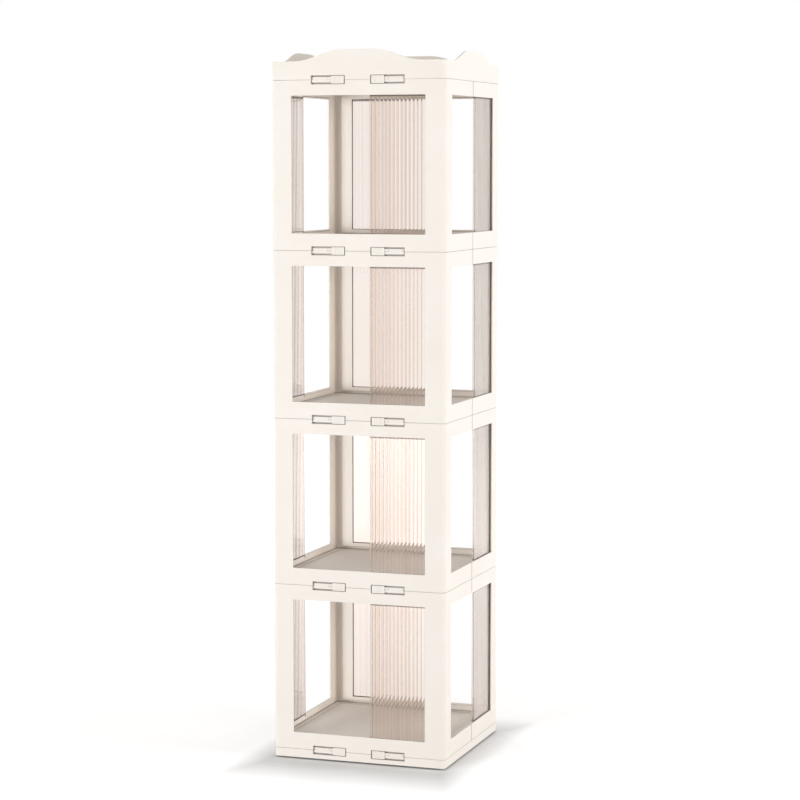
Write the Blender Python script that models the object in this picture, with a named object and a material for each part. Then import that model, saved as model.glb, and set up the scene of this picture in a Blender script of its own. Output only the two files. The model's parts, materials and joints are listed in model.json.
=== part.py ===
"""Rotating shelf unit: four storeys of moulded frame on a hidden turntable.

Each storey is two identical half shells that meet in the middle of the side faces. Four reeded
panels go round it like the sails of a pinwheel. The storeys stand on one another between a base
tray and a top tray, and sliding latches hold each horizontal seam together.
Units are metres. The origin is on the floor below the centre, and the front faces -Y.
"""
import math

import bmesh
import bpy
from mathutils import Matrix, Vector

# Footprint and storeys
SIDE = 0.340
STOREY_COUNT = 4
STOREY_PITCH = 0.315
WALL = 0.0025
CORNER_RADIUS = 0.008
STILE_WIDTH = 0.039
TOP_RAIL = 0.0284
BOTTOM_RAIL = 0.0318
LIP_DEPTH = 0.0065
LIP_THICKNESS = 0.002
FLANGE_WIDTH = 0.0165
FLANGE_THICKNESS = 0.003

# Clearances, and how far cuts and joints run on
GAP = 0.0003
SEAM_GAP = 0.0004
OVERRUN = 0.002
BITE = 0.0008

# Pegs that line up one storey with the next
PEG_RADIUS = 0.0035
PEG_INSET = 0.0125
PEG_CLEARANCE = 0.0004
PEG_SEGMENTS = 8

# Tongues that join the two half shells of a storey
TONGUE_THICKNESS = 0.002
TONGUE_HEIGHT = 0.009
TONGUE_REACH = 0.014
TONGUE_ROOT = 0.012
TONGUE_STANDOFF = 0.0042
BARB_HEIGHT = 0.0012
BARB_LENGTH = 0.003
BARB_SETBACK = 0.004
BARB_MARGIN = 0.0018

# Reeded panels and the guides that hold them
PANEL_THICKNESS = 0.003
PANEL_FREE_EDGE = 0.0225
PANEL_ENGAGEMENT = 0.006
PANEL_SIDE_ENGAGEMENT = 0.020
PANEL_LIFT = 0.0065
BEAD_WIDTH = 0.004
BEAD_THICKNESS = 0.0045
REED_PITCH = 0.0056
REED_DEPTH = 0.0008
REED_MARGIN = 0.003
GUIDE_WALL = 0.0018
GUIDE_COVER = 0.005
GUIDE_SIDE_COVER = 0.010

# Shelf boards
BOARD_TOP = 0.0175
BOARD_THICKNESS = 0.003
BOARD_EDGE_GAP = 0.0008
SKIRT_SETBACK = 0.0155
SKIRT_THICKNESS = 0.0025
RIB_THICKNESS = 0.002
RIB_HEIGHT = 0.007
RIB_OFFSET = 0.062

# Sliding latches, in the seam's own coordinates
RECESS_START = 0.025
RECESS_LENGTH = 0.0665
RECESS_HEIGHT = 0.0165
RECESS_DEPTH = 0.0013
SLOT_INSET = 0.0015
BAR_HALF = 0.005
BAR_THICKNESS = 0.0015
WEB_HALF = 0.0024
HOOK_THICKNESS = 0.0015
TAB_MARGIN = 0.0052
TAB_SETBACK = 0.0001
HOUSING_WALL = 0.0018
SLIDER_LENGTH = 0.028
SLIDER_INSET = 0.0002
GRIP_COUNT = 3
GRIP_PITCH = 0.0046
GRIP_WIDTH = 0.0014
GRIP_DEPTH = 0.0005

# Top tray
TRAY_CORNER_HEIGHT = 0.0343
TRAY_PEAK_HEIGHT = 0.0556
ARCH_TOP_HALF = 0.030
ARCH_FOOT_HALF = 0.125
ARCH_STEPS = 6
ARC_STEPS = 3
TRAY_BOSS = 0.018

# Base tray and turntable
BASE_HEIGHT = 0.0194
FLOOR_GAP = 0.003
DECK_THICKNESS = 0.003
FOOT_RADIUS = 0.012
FOOT_SETBACK = 0.016
FOOT_SEGMENTS = 16
PLATE_RADIUS = 0.150
PLATE_THICKNESS = 0.002
RACE_CIRCLE = 0.100
RACE_HALF_WIDTH = 0.005
RACE_LAND = 0.003
RACE_GROOVE_DEPTH = 0.0007
RACE_HEIGHT = 0.001
UPPER_RACE_RADIUS = 0.115
RACE_SEGMENTS = 24
BALL_RADIUS = 0.0025
BALL_COUNT = 8
BALL_SEGMENTS = 6
BALL_RINGS = 4
CAGE_HALF_WIDTH = 0.0038
CAGE_THICKNESS = 0.001
BOLT_RADIUS = 0.004
BOLT_HEAD_RADIUS = 0.010
BOLT_HEAD_THICKNESS = 0.0018
BOLT_END = 0.0012
BOLT_HOLE_CLEARANCE = 0.0004
BOLT_SEGMENTS = 16
WASHER_RADIUS = 0.010
WASHER_THICKNESS = 0.0015
NUT_ACROSS_CORNERS = 0.015
NUT_HEIGHT = 0.0065
NUT_SIDES = 6

# Worked out from the sizes above
HALF = SIDE / 2
INNER_HALF = HALF - WALL
WINDOW_HALF = HALF - STILE_WIDTH
SHELL_BOTTOM = SEAM_GAP / 2
SHELL_TOP = STOREY_PITCH - SEAM_GAP / 2
WINDOW_BOTTOM = BOTTOM_RAIL
WINDOW_TOP = STOREY_PITCH - TOP_RAIL
PANEL_DEPTH = WALL + GAP
PANEL_BACK = PANEL_DEPTH + PANEL_THICKNESS
PANEL_BOTTOM = WINDOW_BOTTOM - PANEL_ENGAGEMENT
PANEL_TOP = WINDOW_TOP + PANEL_ENGAGEMENT
PANEL_OUTER_EDGE = WINDOW_HALF + PANEL_SIDE_ENGAGEMENT
GUIDE_START = PANEL_FREE_EDGE + BEAD_WIDTH + GAP
GUIDE_FLOOR = PANEL_BOTTOM - GAP
GUIDE_ROOF = PANEL_TOP + PANEL_LIFT
GUIDE_SIDE = PANEL_OUTER_EDGE + GAP
GUIDE_BACK = PANEL_BACK + GAP + GUIDE_WALL
RECESS_HALF = RECESS_HEIGHT / 2
GROOVE_HALF = RECESS_HALF - GAP
BAR_BACK = RECESS_DEPTH + BAR_THICKNESS
CAVITY_BACK = BAR_BACK + GAP + HOOK_THICKNESS + GAP
HOUSING_HALF = RECESS_HALF + HOUSING_WALL
HOUSING_BACK = CAVITY_BACK + HOUSING_WALL
SLOT_START = RECESS_START + SLOT_INSET
SLOT_END = RECESS_START + RECESS_LENGTH - SLOT_INSET
LATCH_TRAVEL = RECESS_LENGTH - SLIDER_LENGTH - 2 * GAP
TAB_START = SLOT_START + GAP + LATCH_TRAVEL - TAB_MARGIN
SLIDER_CENTRE = RECESS_START + GAP + SLIDER_LENGTH / 2
TONGUE_LEVELS = (TONGUE_STANDOFF, STOREY_PITCH - TONGUE_STANDOFF * 2 - TONGUE_HEIGHT)
PEG_PLACE = HALF - PEG_INSET
DECK_TOP = BASE_HEIGHT - SEAM_GAP / 2
DECK_BOTTOM = DECK_TOP - DECK_THICKNESS
FOOT_CIRCLE = PLATE_RADIUS - FOOT_SETBACK
PLATE_BOTTOM = FLOOR_GAP + GAP
PLATE_TOP = PLATE_BOTTOM + PLATE_THICKNESS
LOWER_RACE_TOP = PLATE_TOP + RACE_HEIGHT
BALL_CENTRE = LOWER_RACE_TOP - RACE_GROOVE_DEPTH + GAP + BALL_RADIUS
UPPER_RACE_TOP = DECK_BOTTOM - GAP
UPPER_RACE_FACE = 2 * BALL_CENTRE - LOWER_RACE_TOP
QUARTER = math.pi / 2
TOP_SEAM = BASE_HEIGHT + STOREY_COUNT * STOREY_PITCH


def clear_scene():
    """Remove every object that the open file holds."""
    for obj in list(bpy.data.objects):
        bpy.data.objects.remove(obj, do_unlink=True)


def plain_material(name, colour, roughness, metallic=0.0, transmission=0.0):
    """A Principled material with one colour."""
    material = bpy.data.materials.new(name)
    material.use_nodes = True
    shader = material.node_tree.nodes["Principled BSDF"]
    shader.inputs["Base Color"].default_value = (*colour, 1.0)
    shader.inputs["Roughness"].default_value = roughness
    shader.inputs["Metallic"].default_value = metallic
    shader.inputs["Transmission Weight"].default_value = transmission
    return material


def mesh_from(bm, name):
    """Turn a bmesh into a mesh whose faces point out."""
    bmesh.ops.recalc_face_normals(bm, faces=bm.faces)
    mesh = bpy.data.meshes.new(name)
    bm.to_mesh(mesh)
    bm.free()
    return mesh


def boxes(name, corner_pairs):
    """One mesh with a box for each pair of low and high corners."""
    bm = bmesh.new()
    for low, high in corner_pairs:
        size = Vector(high) - Vector(low)
        middle = (Vector(high) + Vector(low)) / 2
        place = Matrix.Translation(middle) @ Matrix.Diagonal((*size, 1.0))
        bmesh.ops.create_cube(bm, size=1.0, matrix=place)
    return mesh_from(bm, name)


def prism(name, outline, start, end, frame=Matrix.Identity(4)):
    """Extrude a flat outline along its own Z from start to end, then place it by a matrix."""
    bm = bmesh.new()
    corners = [bm.verts.new((x, y, start)) for x, y in outline]
    face = bm.faces.new(corners)
    grown = bmesh.ops.extrude_face_region(bm, geom=[face])
    moved = [item for item in grown["geom"] if isinstance(item, bmesh.types.BMVert)]
    bmesh.ops.translate(bm, verts=moved, vec=(0, 0, end - start))
    bmesh.ops.transform(bm, matrix=frame, verts=bm.verts)
    return mesh_from(bm, name)


def drum(name, radius, start, end, segments, places=((0, 0),)):
    """Upright round posts, one at each place."""
    bm = bmesh.new()
    for x, y in places:
        place = Matrix.Translation((x, y, (start + end) / 2))
        bmesh.ops.create_cone(bm, cap_ends=True, segments=segments, radius1=radius,
                              radius2=radius, depth=end - start, matrix=place)
    return mesh_from(bm, name)


def turned(name, profile, segments):
    """Spin a closed profile of radius and height points once round the Z axis."""
    bm = bmesh.new()
    corners = [bm.verts.new((radius, 0, height)) for radius, height in profile]
    edges = [bm.edges.new((corners[i], corners[i - 1])) for i in range(len(corners))]
    bmesh.ops.spin(bm, geom=corners + edges, cent=(0, 0, 0), axis=(0, 0, 1),
                   angle=2 * math.pi, steps=segments, use_merge=True)
    return mesh_from(bm, name)


def moved_copies(name, mesh, frames):
    """One mesh with a copy of another at each matrix."""
    bm = bmesh.new()
    for frame in frames:
        first = len(bm.verts)
        bm.from_mesh(mesh)
        bm.verts.ensure_lookup_table()
        bmesh.ops.transform(bm, matrix=frame, verts=bm.verts[first:])
    return mesh_from(bm, name)


def carve(name, start, steps):
    """Apply Boolean steps, each an operation and a mesh, to a start mesh."""
    body = bpy.data.objects.new(name, start)
    bpy.context.scene.collection.objects.link(body)
    tools = []
    for operation, mesh in steps:
        tool = bpy.data.objects.new("cutter", mesh)
        tool.hide_render = True
        tool.display_type = "WIRE"
        bpy.context.scene.collection.objects.link(tool)
        modifier = body.modifiers.new(operation.lower(), "BOOLEAN")
        modifier.operation = operation
        modifier.object = tool
        modifier.solver = "EXACT"
        tools.append(tool)
    bpy.context.view_layer.update()
    evaluated = body.evaluated_get(bpy.context.evaluated_depsgraph_get())
    result = bpy.data.meshes.new_from_object(evaluated)
    result.name = name
    for obj in [body] + tools:
        bpy.data.objects.remove(obj, do_unlink=True)
    return result


def place_object(name, mesh, material, parent, location=(0, 0, 0), turn=0.0):
    """Add one finished piece, turned about Z and placed under its parent."""
    if not mesh.materials:
        mesh.materials.append(material)
    obj = bpy.data.objects.new(name, mesh)
    bpy.context.scene.collection.objects.link(obj)
    obj.parent = parent
    obj.location = location
    obj.rotation_euler = (0, 0, turn)
    return obj


def empty(name, location=(0, 0, 0), parent=None):
    """A bare point that other pieces hang on."""
    point = bpy.data.objects.new(name, None)
    bpy.context.scene.collection.objects.link(point)
    point.parent = parent
    point.location = location
    return point


def arc(centre, radius, start):
    """Points of a quarter circle, counterclockwise from a start angle."""
    angles = [start + QUARTER * step / ARC_STEPS for step in range(ARC_STEPS + 1)]
    return [(centre[0] + radius * math.cos(a), centre[1] + radius * math.sin(a)) for a in angles]


def rounded_square(half, radius):
    """Outline of a square with rounded corners."""
    middle = half - radius
    corners = ((middle, middle, 0), (-middle, middle, 1), (-middle, -middle, 2), (middle, -middle, 3))
    points = []
    for x, y, quarter in corners:
        points += arc((x, y), radius, quarter * QUARTER)
    return points


def half_ring(outer, outer_radius, inner, inner_radius):
    """Outline of the front half of a square ring, open at the side seams."""
    def front_bend(half, radius):
        middle = half - radius
        left = arc((-middle, -middle), radius, 2 * QUARTER)
        right = arc((middle, -middle), radius, 3 * QUARTER)
        return [(-half, -SEAM_GAP / 2)] + left + right + [(half, -SEAM_GAP / 2)]

    return front_bend(outer, outer_radius) + front_bend(inner, inner_radius)[::-1]


def face_box(along, depth, height):
    """Corners of a box on the front face, from its ranges along the face, into it and up."""
    low = (along[0], -HALF + depth[0], height[0])
    high = (along[1], -HALF + depth[1], height[1])
    return low, high


def mirrored(along):
    """A range along a face, and the same range on the other side of the middle."""
    return along, (-along[1], -along[0])


def turned_about_z(quarters):
    """Matrix of a number of quarter turns about Z."""
    return Matrix.Rotation(quarters * QUARTER, 4, "Z")


def latch_frames(levels, faces):
    """Matrices that carry a pair of latches to each level of each face."""
    return [turned_about_z(face) @ Matrix.Translation((0, 0, level))
            for level in levels for face in faces]


def latch_boxes(name, along, depth, half_height):
    """A box across the seam for the latch on each side of the middle."""
    return boxes(name, [face_box(part, depth, (-half_height, half_height)) for part in mirrored(along)])


def latch_rods(name, outlines, start, end):
    """Rods along a face, from outlines of depth and height, for the latch on each side of the middle."""
    across = Matrix(((0, 0, 1, 0), (1, 0, 0, -HALF), (0, 1, 0, 0), (0, 0, 0, 1)))
    mirror = Matrix.Scale(-1, 4, (1, 0, 0))
    bm = bmesh.new()
    for outline in outlines:
        bm.from_mesh(moved_copies(name, prism(name, outline, start, end, across),
                                  (Matrix.Identity(4), mirror)))
    return mesh_from(bm, name)


def latch_cuts(levels, faces):
    """Recess and grooves for a pair of latches on each face at each level, with a bar left between."""
    upper = [(-OVERRUN, GROOVE_HALF), (-OVERRUN, BAR_HALF), (BAR_BACK, BAR_HALF),
             (BAR_BACK, WEB_HALF), (CAVITY_BACK, WEB_HALF), (CAVITY_BACK, GROOVE_HALF)]
    lower = [(depth, -height) for depth, height in upper[::-1]]
    recess = latch_boxes("recess", (RECESS_START, RECESS_START + RECESS_LENGTH),
                         (-OVERRUN, RECESS_DEPTH), RECESS_HALF)
    grooves = latch_rods("grooves", (upper, lower), SLOT_START, SLOT_END)
    frames = latch_frames(levels, faces)
    return [("DIFFERENCE", moved_copies(cut.name, cut, frames)) for cut in (recess, grooves)]


def tab_notches(levels, faces):
    """Notches in an upper edge for the tabs that stand up from the edge below it."""
    notch = latch_boxes("notches", (TAB_START, SLOT_END + GAP), (-OVERRUN, CAVITY_BACK + TAB_SETBACK),
                        (BAR_HALF + GROOVE_HALF) / 2)
    return [("DIFFERENCE", moved_copies("notches", notch, latch_frames(levels, faces)))]


def tabs(levels, faces):
    """Tabs that stand up from a lower edge, and hold the slider when it is slid out."""
    front = RECESS_DEPTH + TAB_SETBACK
    web_back = CAVITY_BACK - GAP
    root = -SEAM_GAP / 2 - BITE
    outline = [(front, root), (front, BAR_HALF), (BAR_BACK, BAR_HALF),
               (BAR_BACK, WEB_HALF), (web_back, WEB_HALF), (web_back, root)]
    pair = latch_rods("tabs", (outline,), TAB_START + GAP, SLOT_END - GAP)
    return [("UNION", moved_copies("tabs", pair, latch_frames(levels, faces)))]


def housings(ranges, faces):
    """Blocks behind the wall that the latch pockets are cut into."""
    span = (SLOT_START - HOUSING_WALL, SLOT_END + HOUSING_WALL)
    pairs = [face_box(along, (WALL - BITE, HOUSING_BACK), height)
             for along in mirrored(span) for height in ranges]
    block = boxes("housings", pairs)
    return moved_copies("housings", block, [turned_about_z(face) for face in faces])


def guide_frame():
    """Three-sided guide on the inside of the front face, holding a panel by its edges."""
    block = boxes("guide_block", [face_box((GUIDE_START, GUIDE_SIDE + GUIDE_WALL),
                                           (WALL - BITE, GUIDE_BACK),
                                           (GUIDE_FLOOR - GUIDE_WALL, GUIDE_ROOF + GUIDE_WALL))])
    cavity = boxes("guide_cavity", [face_box((GUIDE_START - OVERRUN, GUIDE_SIDE),
                                             (WALL - BITE - OVERRUN, PANEL_BACK + GAP),
                                             (GUIDE_FLOOR, GUIDE_ROOF))])
    view = boxes("guide_view", [face_box((GUIDE_START - OVERRUN, PANEL_OUTER_EDGE - GUIDE_SIDE_COVER),
                                         (0, GUIDE_BACK + OVERRUN),
                                         (PANEL_BOTTOM + GUIDE_COVER, PANEL_TOP - GUIDE_COVER))])
    return carve("guide_frame", block, [("DIFFERENCE", cavity), ("DIFFERENCE", view)])


def windows():
    """Cuts for the front window and for the half windows of both wings."""
    height = (WINDOW_BOTTOM, WINDOW_TOP)
    depth = (-OVERRUN, WALL + OVERRUN)
    whole = boxes("window", [face_box((-WINDOW_HALF, WINDOW_HALF), depth, height)])
    frames = [turned_about_z(quarter) for quarter in (0, 1, 3)]
    return moved_copies("windows", whole, frames)


def rail_lips():
    """Turned-in lips along the rails wherever no panel runs."""
    rows = ((WINDOW_BOTTOM - LIP_THICKNESS, WINDOW_BOTTOM), (WINDOW_TOP, WINDOW_TOP + LIP_THICKNESS))
    depth = (WALL - BITE, LIP_DEPTH)
    free_end = PANEL_FREE_EDGE - GAP
    front = boxes("front_lips", [face_box((-WINDOW_HALF, free_end), depth, row) for row in rows])
    right = boxes("right_lips", [face_box((-WINDOW_HALF, -SEAM_GAP / 2), depth, row) for row in rows])
    left = boxes("left_lips", [face_box((SEAM_GAP / 2, free_end), depth, row) for row in rows])
    return [("UNION", front),
            ("UNION", moved_copies("right_lips", right, [turned_about_z(1)])),
            ("UNION", moved_copies("left_lips", left, [turned_about_z(3)]))]


def tongues():
    """Tongues at the end of the right wing, and the pockets in the left wing that catch their barbs."""
    arm_depth = (WALL + GAP, WALL + GAP + TONGUE_THICKNESS)
    barb_start = TONGUE_REACH - BARB_SETBACK - BARB_LENGTH
    roots = []
    arms = []
    barbs = []
    pockets = []
    for level in TONGUE_LEVELS:
        height = (level, level + TONGUE_HEIGHT)
        barb_height = (level + BARB_MARGIN, level + TONGUE_HEIGHT - BARB_MARGIN)
        roots.append(face_box((-TONGUE_ROOT, -GAP - SEAM_GAP), (WALL - BITE, WALL + GAP + BITE), height))
        arms.append(face_box((-TONGUE_ROOT, TONGUE_REACH), arm_depth, height))
        barbs.append(face_box((barb_start, barb_start + BARB_LENGTH),
                              (arm_depth[0] - BARB_HEIGHT, arm_depth[0] + BITE), barb_height))
        pockets.append(face_box((barb_start - GAP, barb_start + BARB_LENGTH + GAP),
                                (arm_depth[0] - BARB_HEIGHT - GAP, WALL + OVERRUN / 2),
                                (barb_height[0] - GAP, barb_height[1] + GAP)))
    to_right = turned_about_z(1)
    to_left = turned_about_z(3)
    steps = [("UNION", moved_copies("tongue", boxes("tongue", group), [to_right]))
             for group in (arms, roots, barbs)]
    return steps + [("DIFFERENCE", moved_copies("pocket", boxes("pocket", pockets), [to_left]))]


def shell_mesh():
    """Half shell of one storey, in the place of the front one, with its bottom seam at height 0."""
    wall = prism("wall", half_ring(HALF, CORNER_RADIUS, INNER_HALF, CORNER_RADIUS - WALL),
                 SHELL_BOTTOM, SHELL_TOP)
    flange = half_ring(INNER_HALF + BITE, CORNER_RADIUS - WALL + BITE,
                       INNER_HALF - FLANGE_WIDTH, CORNER_RADIUS - WALL)
    flanges = [prism("flange", flange, SHELL_BOTTOM, SHELL_BOTTOM + FLANGE_THICKNESS),
               prism("flange", flange, SHELL_TOP - FLANGE_THICKNESS, SHELL_TOP)]
    housing = housings(((SHELL_BOTTOM, HOUSING_HALF), (STOREY_PITCH - HOUSING_HALF, SHELL_TOP)), (0,))
    guide = guide_frame()
    guides = moved_copies("guides", guide, (turned_about_z(0), turned_about_z(3)))
    places = ((-PEG_PLACE, -PEG_PLACE), (PEG_PLACE, -PEG_PLACE))
    holes = drum("peg_holes", PEG_RADIUS + PEG_CLEARANCE, SHELL_BOTTOM - OVERRUN,
                 SHELL_BOTTOM + FLANGE_THICKNESS + OVERRUN, PEG_SEGMENTS, places)
    pegs = drum("pegs", PEG_RADIUS, SHELL_TOP - FLANGE_THICKNESS / 2,
                STOREY_PITCH + FLANGE_THICKNESS, PEG_SEGMENTS, places)
    steps = [("DIFFERENCE", windows())]
    steps += [("UNION", flange_mesh) for flange_mesh in flanges]
    steps += [("UNION", housing), ("UNION", guides)]
    steps += rail_lips() + tongues()
    steps += latch_cuts((0, STOREY_PITCH), (0,)) + tab_notches((0,), (0,))
    steps += tabs((STOREY_PITCH,), (0,))
    steps += [("DIFFERENCE", holes), ("UNION", pegs)]
    return carve("half_shell", wall, steps)


def panel_mesh():
    """Reeded panel in the place of the front one: free edge near the middle, reeds facing out."""
    front = -HALF + PANEL_DEPTH
    back = -HALF + PANEL_BACK
    bead_end = PANEL_FREE_EDGE + BEAD_WIDTH
    reed_count = int((WINDOW_HALF + REED_MARGIN - bead_end) / REED_PITCH)
    outline = [(PANEL_OUTER_EDGE, back), (bead_end, back), (bead_end, front + BEAD_THICKNESS),
               (PANEL_FREE_EDGE, front + BEAD_THICKNESS), (PANEL_FREE_EDGE, front)]
    for reed in range(reed_count):
        start = bead_end + reed * REED_PITCH
        outline += [(start, front + REED_DEPTH), (start + REED_PITCH / 2, front)]
    end = bead_end + reed_count * REED_PITCH
    outline += [(end, front + REED_DEPTH), (PANEL_OUTER_EDGE, front + REED_DEPTH)]
    return prism("panel", outline[::-1], PANEL_BOTTOM, PANEL_TOP)


def board_mesh():
    """Shelf board with a skirt and crossing ribs under it, its seam at height 0."""
    underside = BOARD_TOP - BOARD_THICKNESS
    plate = prism("plate", rounded_square(INNER_HALF - BOARD_EDGE_GAP, CORNER_RADIUS - WALL),
                  underside, BOARD_TOP)
    outer = HALF - SKIRT_SETBACK
    inner = outer - SKIRT_THICKNESS
    foot = SHELL_BOTTOM + FLANGE_THICKNESS + GAP
    skirt = boxes("skirt", [((-outer, -outer, foot), (outer, outer, underside + BITE))])
    below = boxes("below", [((-inner, -inner, foot - OVERRUN), (inner, inner, underside))])
    hollow = carve("hollow", below, rib_slots(underside))
    return carve("shelf_board", plate, [("UNION", skirt), ("DIFFERENCE", hollow)])


def rib_slots(underside):
    """Slots in a hollow's cutter, which leave two crossing pairs of ribs under a plate."""
    low = underside - RIB_HEIGHT
    high = underside + OVERRUN
    steps = []
    for quarter in (0, 1):
        pair = boxes("ribs", [((-HALF, side * RIB_OFFSET - RIB_THICKNESS / 2, low),
                               (HALF, side * RIB_OFFSET + RIB_THICKNESS / 2, high))
                              for side in (-1, 1)])
        steps.append(("DIFFERENCE", moved_copies("ribs", pair, [turned_about_z(quarter)])))
    return steps


def arch_outline():
    """Outline of the air above the fence of one side, as distance along it and height."""
    rise = TRAY_PEAK_HEIGHT - TRAY_CORNER_HEIGHT
    run = ARCH_FOOT_HALF - ARCH_TOP_HALF
    slope = []
    for step in range(ARCH_STEPS + 1):
        share = step / ARCH_STEPS
        slope.append((ARCH_TOP_HALF + run * share,
                      TRAY_CORNER_HEIGHT + rise * (1 + math.cos(math.pi * share)) / 2))
    end = HALF + OVERRUN
    right = slope + [(end, TRAY_CORNER_HEIGHT), (end, TRAY_PEAK_HEIGHT + OVERRUN)]
    left = [(-along, height) for along, height in right[::-1]]
    return left + right


def top_tray_mesh():
    """Top tray with its seam at height 0: floor, fence with four arches, and corner bosses."""
    underside = BOARD_TOP - BOARD_THICKNESS
    block = prism("tray", rounded_square(HALF, CORNER_RADIUS), SHELL_BOTTOM, TRAY_PEAK_HEIGHT)
    inside = rounded_square(INNER_HALF, CORNER_RADIUS - WALL)
    above = prism("above", inside, BOARD_TOP, TRAY_PEAK_HEIGHT + OVERRUN)
    below = prism("below", inside, -OVERRUN, underside)
    boss_inner = INNER_HALF - TRAY_BOSS
    boss = boxes("boss", [((boss_inner, boss_inner, -2 * OVERRUN), (HALF, HALF, underside + OVERRUN))])
    bosses = moved_copies("bosses", boss, [turned_about_z(corner) for corner in range(4)])
    blocks = housings(((-2 * OVERRUN, HOUSING_HALF),), (0, 2))
    kept = [("DIFFERENCE", bosses), ("DIFFERENCE", blocks)] + rib_slots(underside)
    hollow = carve("hollow", below, kept)
    holes = drum("peg_holes", PEG_RADIUS + PEG_CLEARANCE, -OVERRUN,
                 2 * FLANGE_THICKNESS, PEG_SEGMENTS, corner_places())
    upright = Matrix.Rotation(QUARTER, 4, "X")
    arch = prism("arch", arch_outline(), INNER_HALF - CORNER_RADIUS, HALF + OVERRUN, upright)
    steps = [("DIFFERENCE", above), ("DIFFERENCE", hollow)]
    steps += latch_cuts((0,), (0, 2)) + tab_notches((0,), (0, 2))
    steps += [("DIFFERENCE", holes)]
    steps += [("DIFFERENCE", moved_copies("arch", arch, [turned_about_z(side)])) for side in range(4)]
    return carve("top_tray", block, steps)


def corner_places():
    """Middles of the four pegs."""
    return [(x * PEG_PLACE, y * PEG_PLACE) for x in (-1, 1) for y in (-1, 1)]


def base_tray_mesh():
    """Base tray: a deck with a skirt down to the floor gap, in world heights."""
    block = prism("base", rounded_square(HALF, CORNER_RADIUS), FLOOR_GAP, DECK_TOP)
    below = prism("below", rounded_square(INNER_HALF, CORNER_RADIUS - WALL),
                  FLOOR_GAP - OVERRUN, DECK_BOTTOM)
    blocks = housings(((BASE_HEIGHT - HOUSING_HALF, DECK_BOTTOM + OVERRUN),), (0, 2))
    hollow = carve("hollow", below, [("DIFFERENCE", blocks)])
    pegs = drum("pegs", PEG_RADIUS, DECK_BOTTOM + DECK_THICKNESS / 2,
                BASE_HEIGHT + FLANGE_THICKNESS, PEG_SEGMENTS, corner_places())
    bore = drum("bore", BOLT_RADIUS + BOLT_HOLE_CLEARANCE, DECK_BOTTOM - OVERRUN,
                DECK_TOP + OVERRUN, BOLT_SEGMENTS)
    steps = [("DIFFERENCE", hollow)]
    steps += latch_cuts((BASE_HEIGHT,), (0, 2)) + tabs((BASE_HEIGHT,), (0, 2))
    steps += [("UNION", pegs), ("DIFFERENCE", bore)]
    return carve("base_tray", block, steps)


def slider_mesh(turn):
    """Latch slider round its own middle on the seam, turned to face out of its side."""
    leg_outer = GROOVE_HALF - GAP
    leg_inner = BAR_HALF + GAP
    hook_inner = WEB_HALF + GAP
    face_back = RECESS_DEPTH - GAP
    hook_front = BAR_BACK + GAP
    hook_back = hook_front + HOOK_THICKNESS
    half_length = SLIDER_LENGTH / 2
    grip_floor = SLIDER_INSET + GRIP_DEPTH
    upper = [(grip_floor, leg_outer), (hook_back, leg_outer), (hook_back, hook_inner),
             (hook_front, hook_inner), (hook_front, leg_inner), (face_back, leg_inner)]
    outline = upper + [(depth, -height) for depth, height in upper[::-1]]
    across = Matrix(((0, 0, 1, 0), (1, 0, 0, 0), (0, 1, 0, 0), (0, 0, 0, 1)))
    reach = half_length - SLOT_INSET
    clasp = prism("clasp", outline, -reach, reach, across)
    plate = boxes("slider_face", [((-half_length, SLIDER_INSET, -GROOVE_HALF),
                                   (half_length, face_back, GROOVE_HALF))])
    middles = [(grip - (GRIP_COUNT - 1) / 2) * GRIP_PITCH for grip in range(GRIP_COUNT)]
    run = GROOVE_HALF + OVERRUN
    grips = boxes("grips", [((middle - GRIP_WIDTH / 2, -OVERRUN, -run),
                             (middle + GRIP_WIDTH / 2, grip_floor, run)) for middle in middles])
    slider = carve("latch_slider", plate, [("DIFFERENCE", grips), ("UNION", clasp)])
    return moved_copies("latch_slider", slider, [turned_about_z(turn)])


def floor_plate_mesh():
    """Round floor plate with the lower ball race on top."""
    hole = BOLT_RADIUS + BOLT_HOLE_CLEARANCE
    profile = [(hole, PLATE_BOTTOM), (PLATE_RADIUS, PLATE_BOTTOM), (PLATE_RADIUS, PLATE_TOP)]
    profile += race_profile(PLATE_TOP, LOWER_RACE_TOP, -RACE_GROOVE_DEPTH)
    profile += [(hole, PLATE_TOP)]
    return turned("floor_plate", profile, RACE_SEGMENTS)


def upper_race_mesh():
    """Ring under the base tray's deck with the upper ball race facing down."""
    hole = BOLT_RADIUS + BOLT_HOLE_CLEARANCE
    seat = UPPER_RACE_TOP - PLATE_THICKNESS
    profile = [(hole, UPPER_RACE_TOP), (UPPER_RACE_RADIUS, UPPER_RACE_TOP), (UPPER_RACE_RADIUS, seat)]
    profile += race_profile(seat, UPPER_RACE_FACE, RACE_GROOVE_DEPTH)
    profile += [(hole, seat)]
    return turned("upper_race", profile, RACE_SEGMENTS)


def race_profile(seat, face, groove):
    """Points of a raised race from the outside in: its sides, its lands and the groove between them."""
    outer = RACE_CIRCLE + RACE_HALF_WIDTH
    inner = RACE_CIRCLE - RACE_HALF_WIDTH
    return [(outer, seat), (outer, face), (outer - RACE_LAND, face), (RACE_CIRCLE, face + groove),
            (inner + RACE_LAND, face), (inner, face), (inner, seat)]


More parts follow.
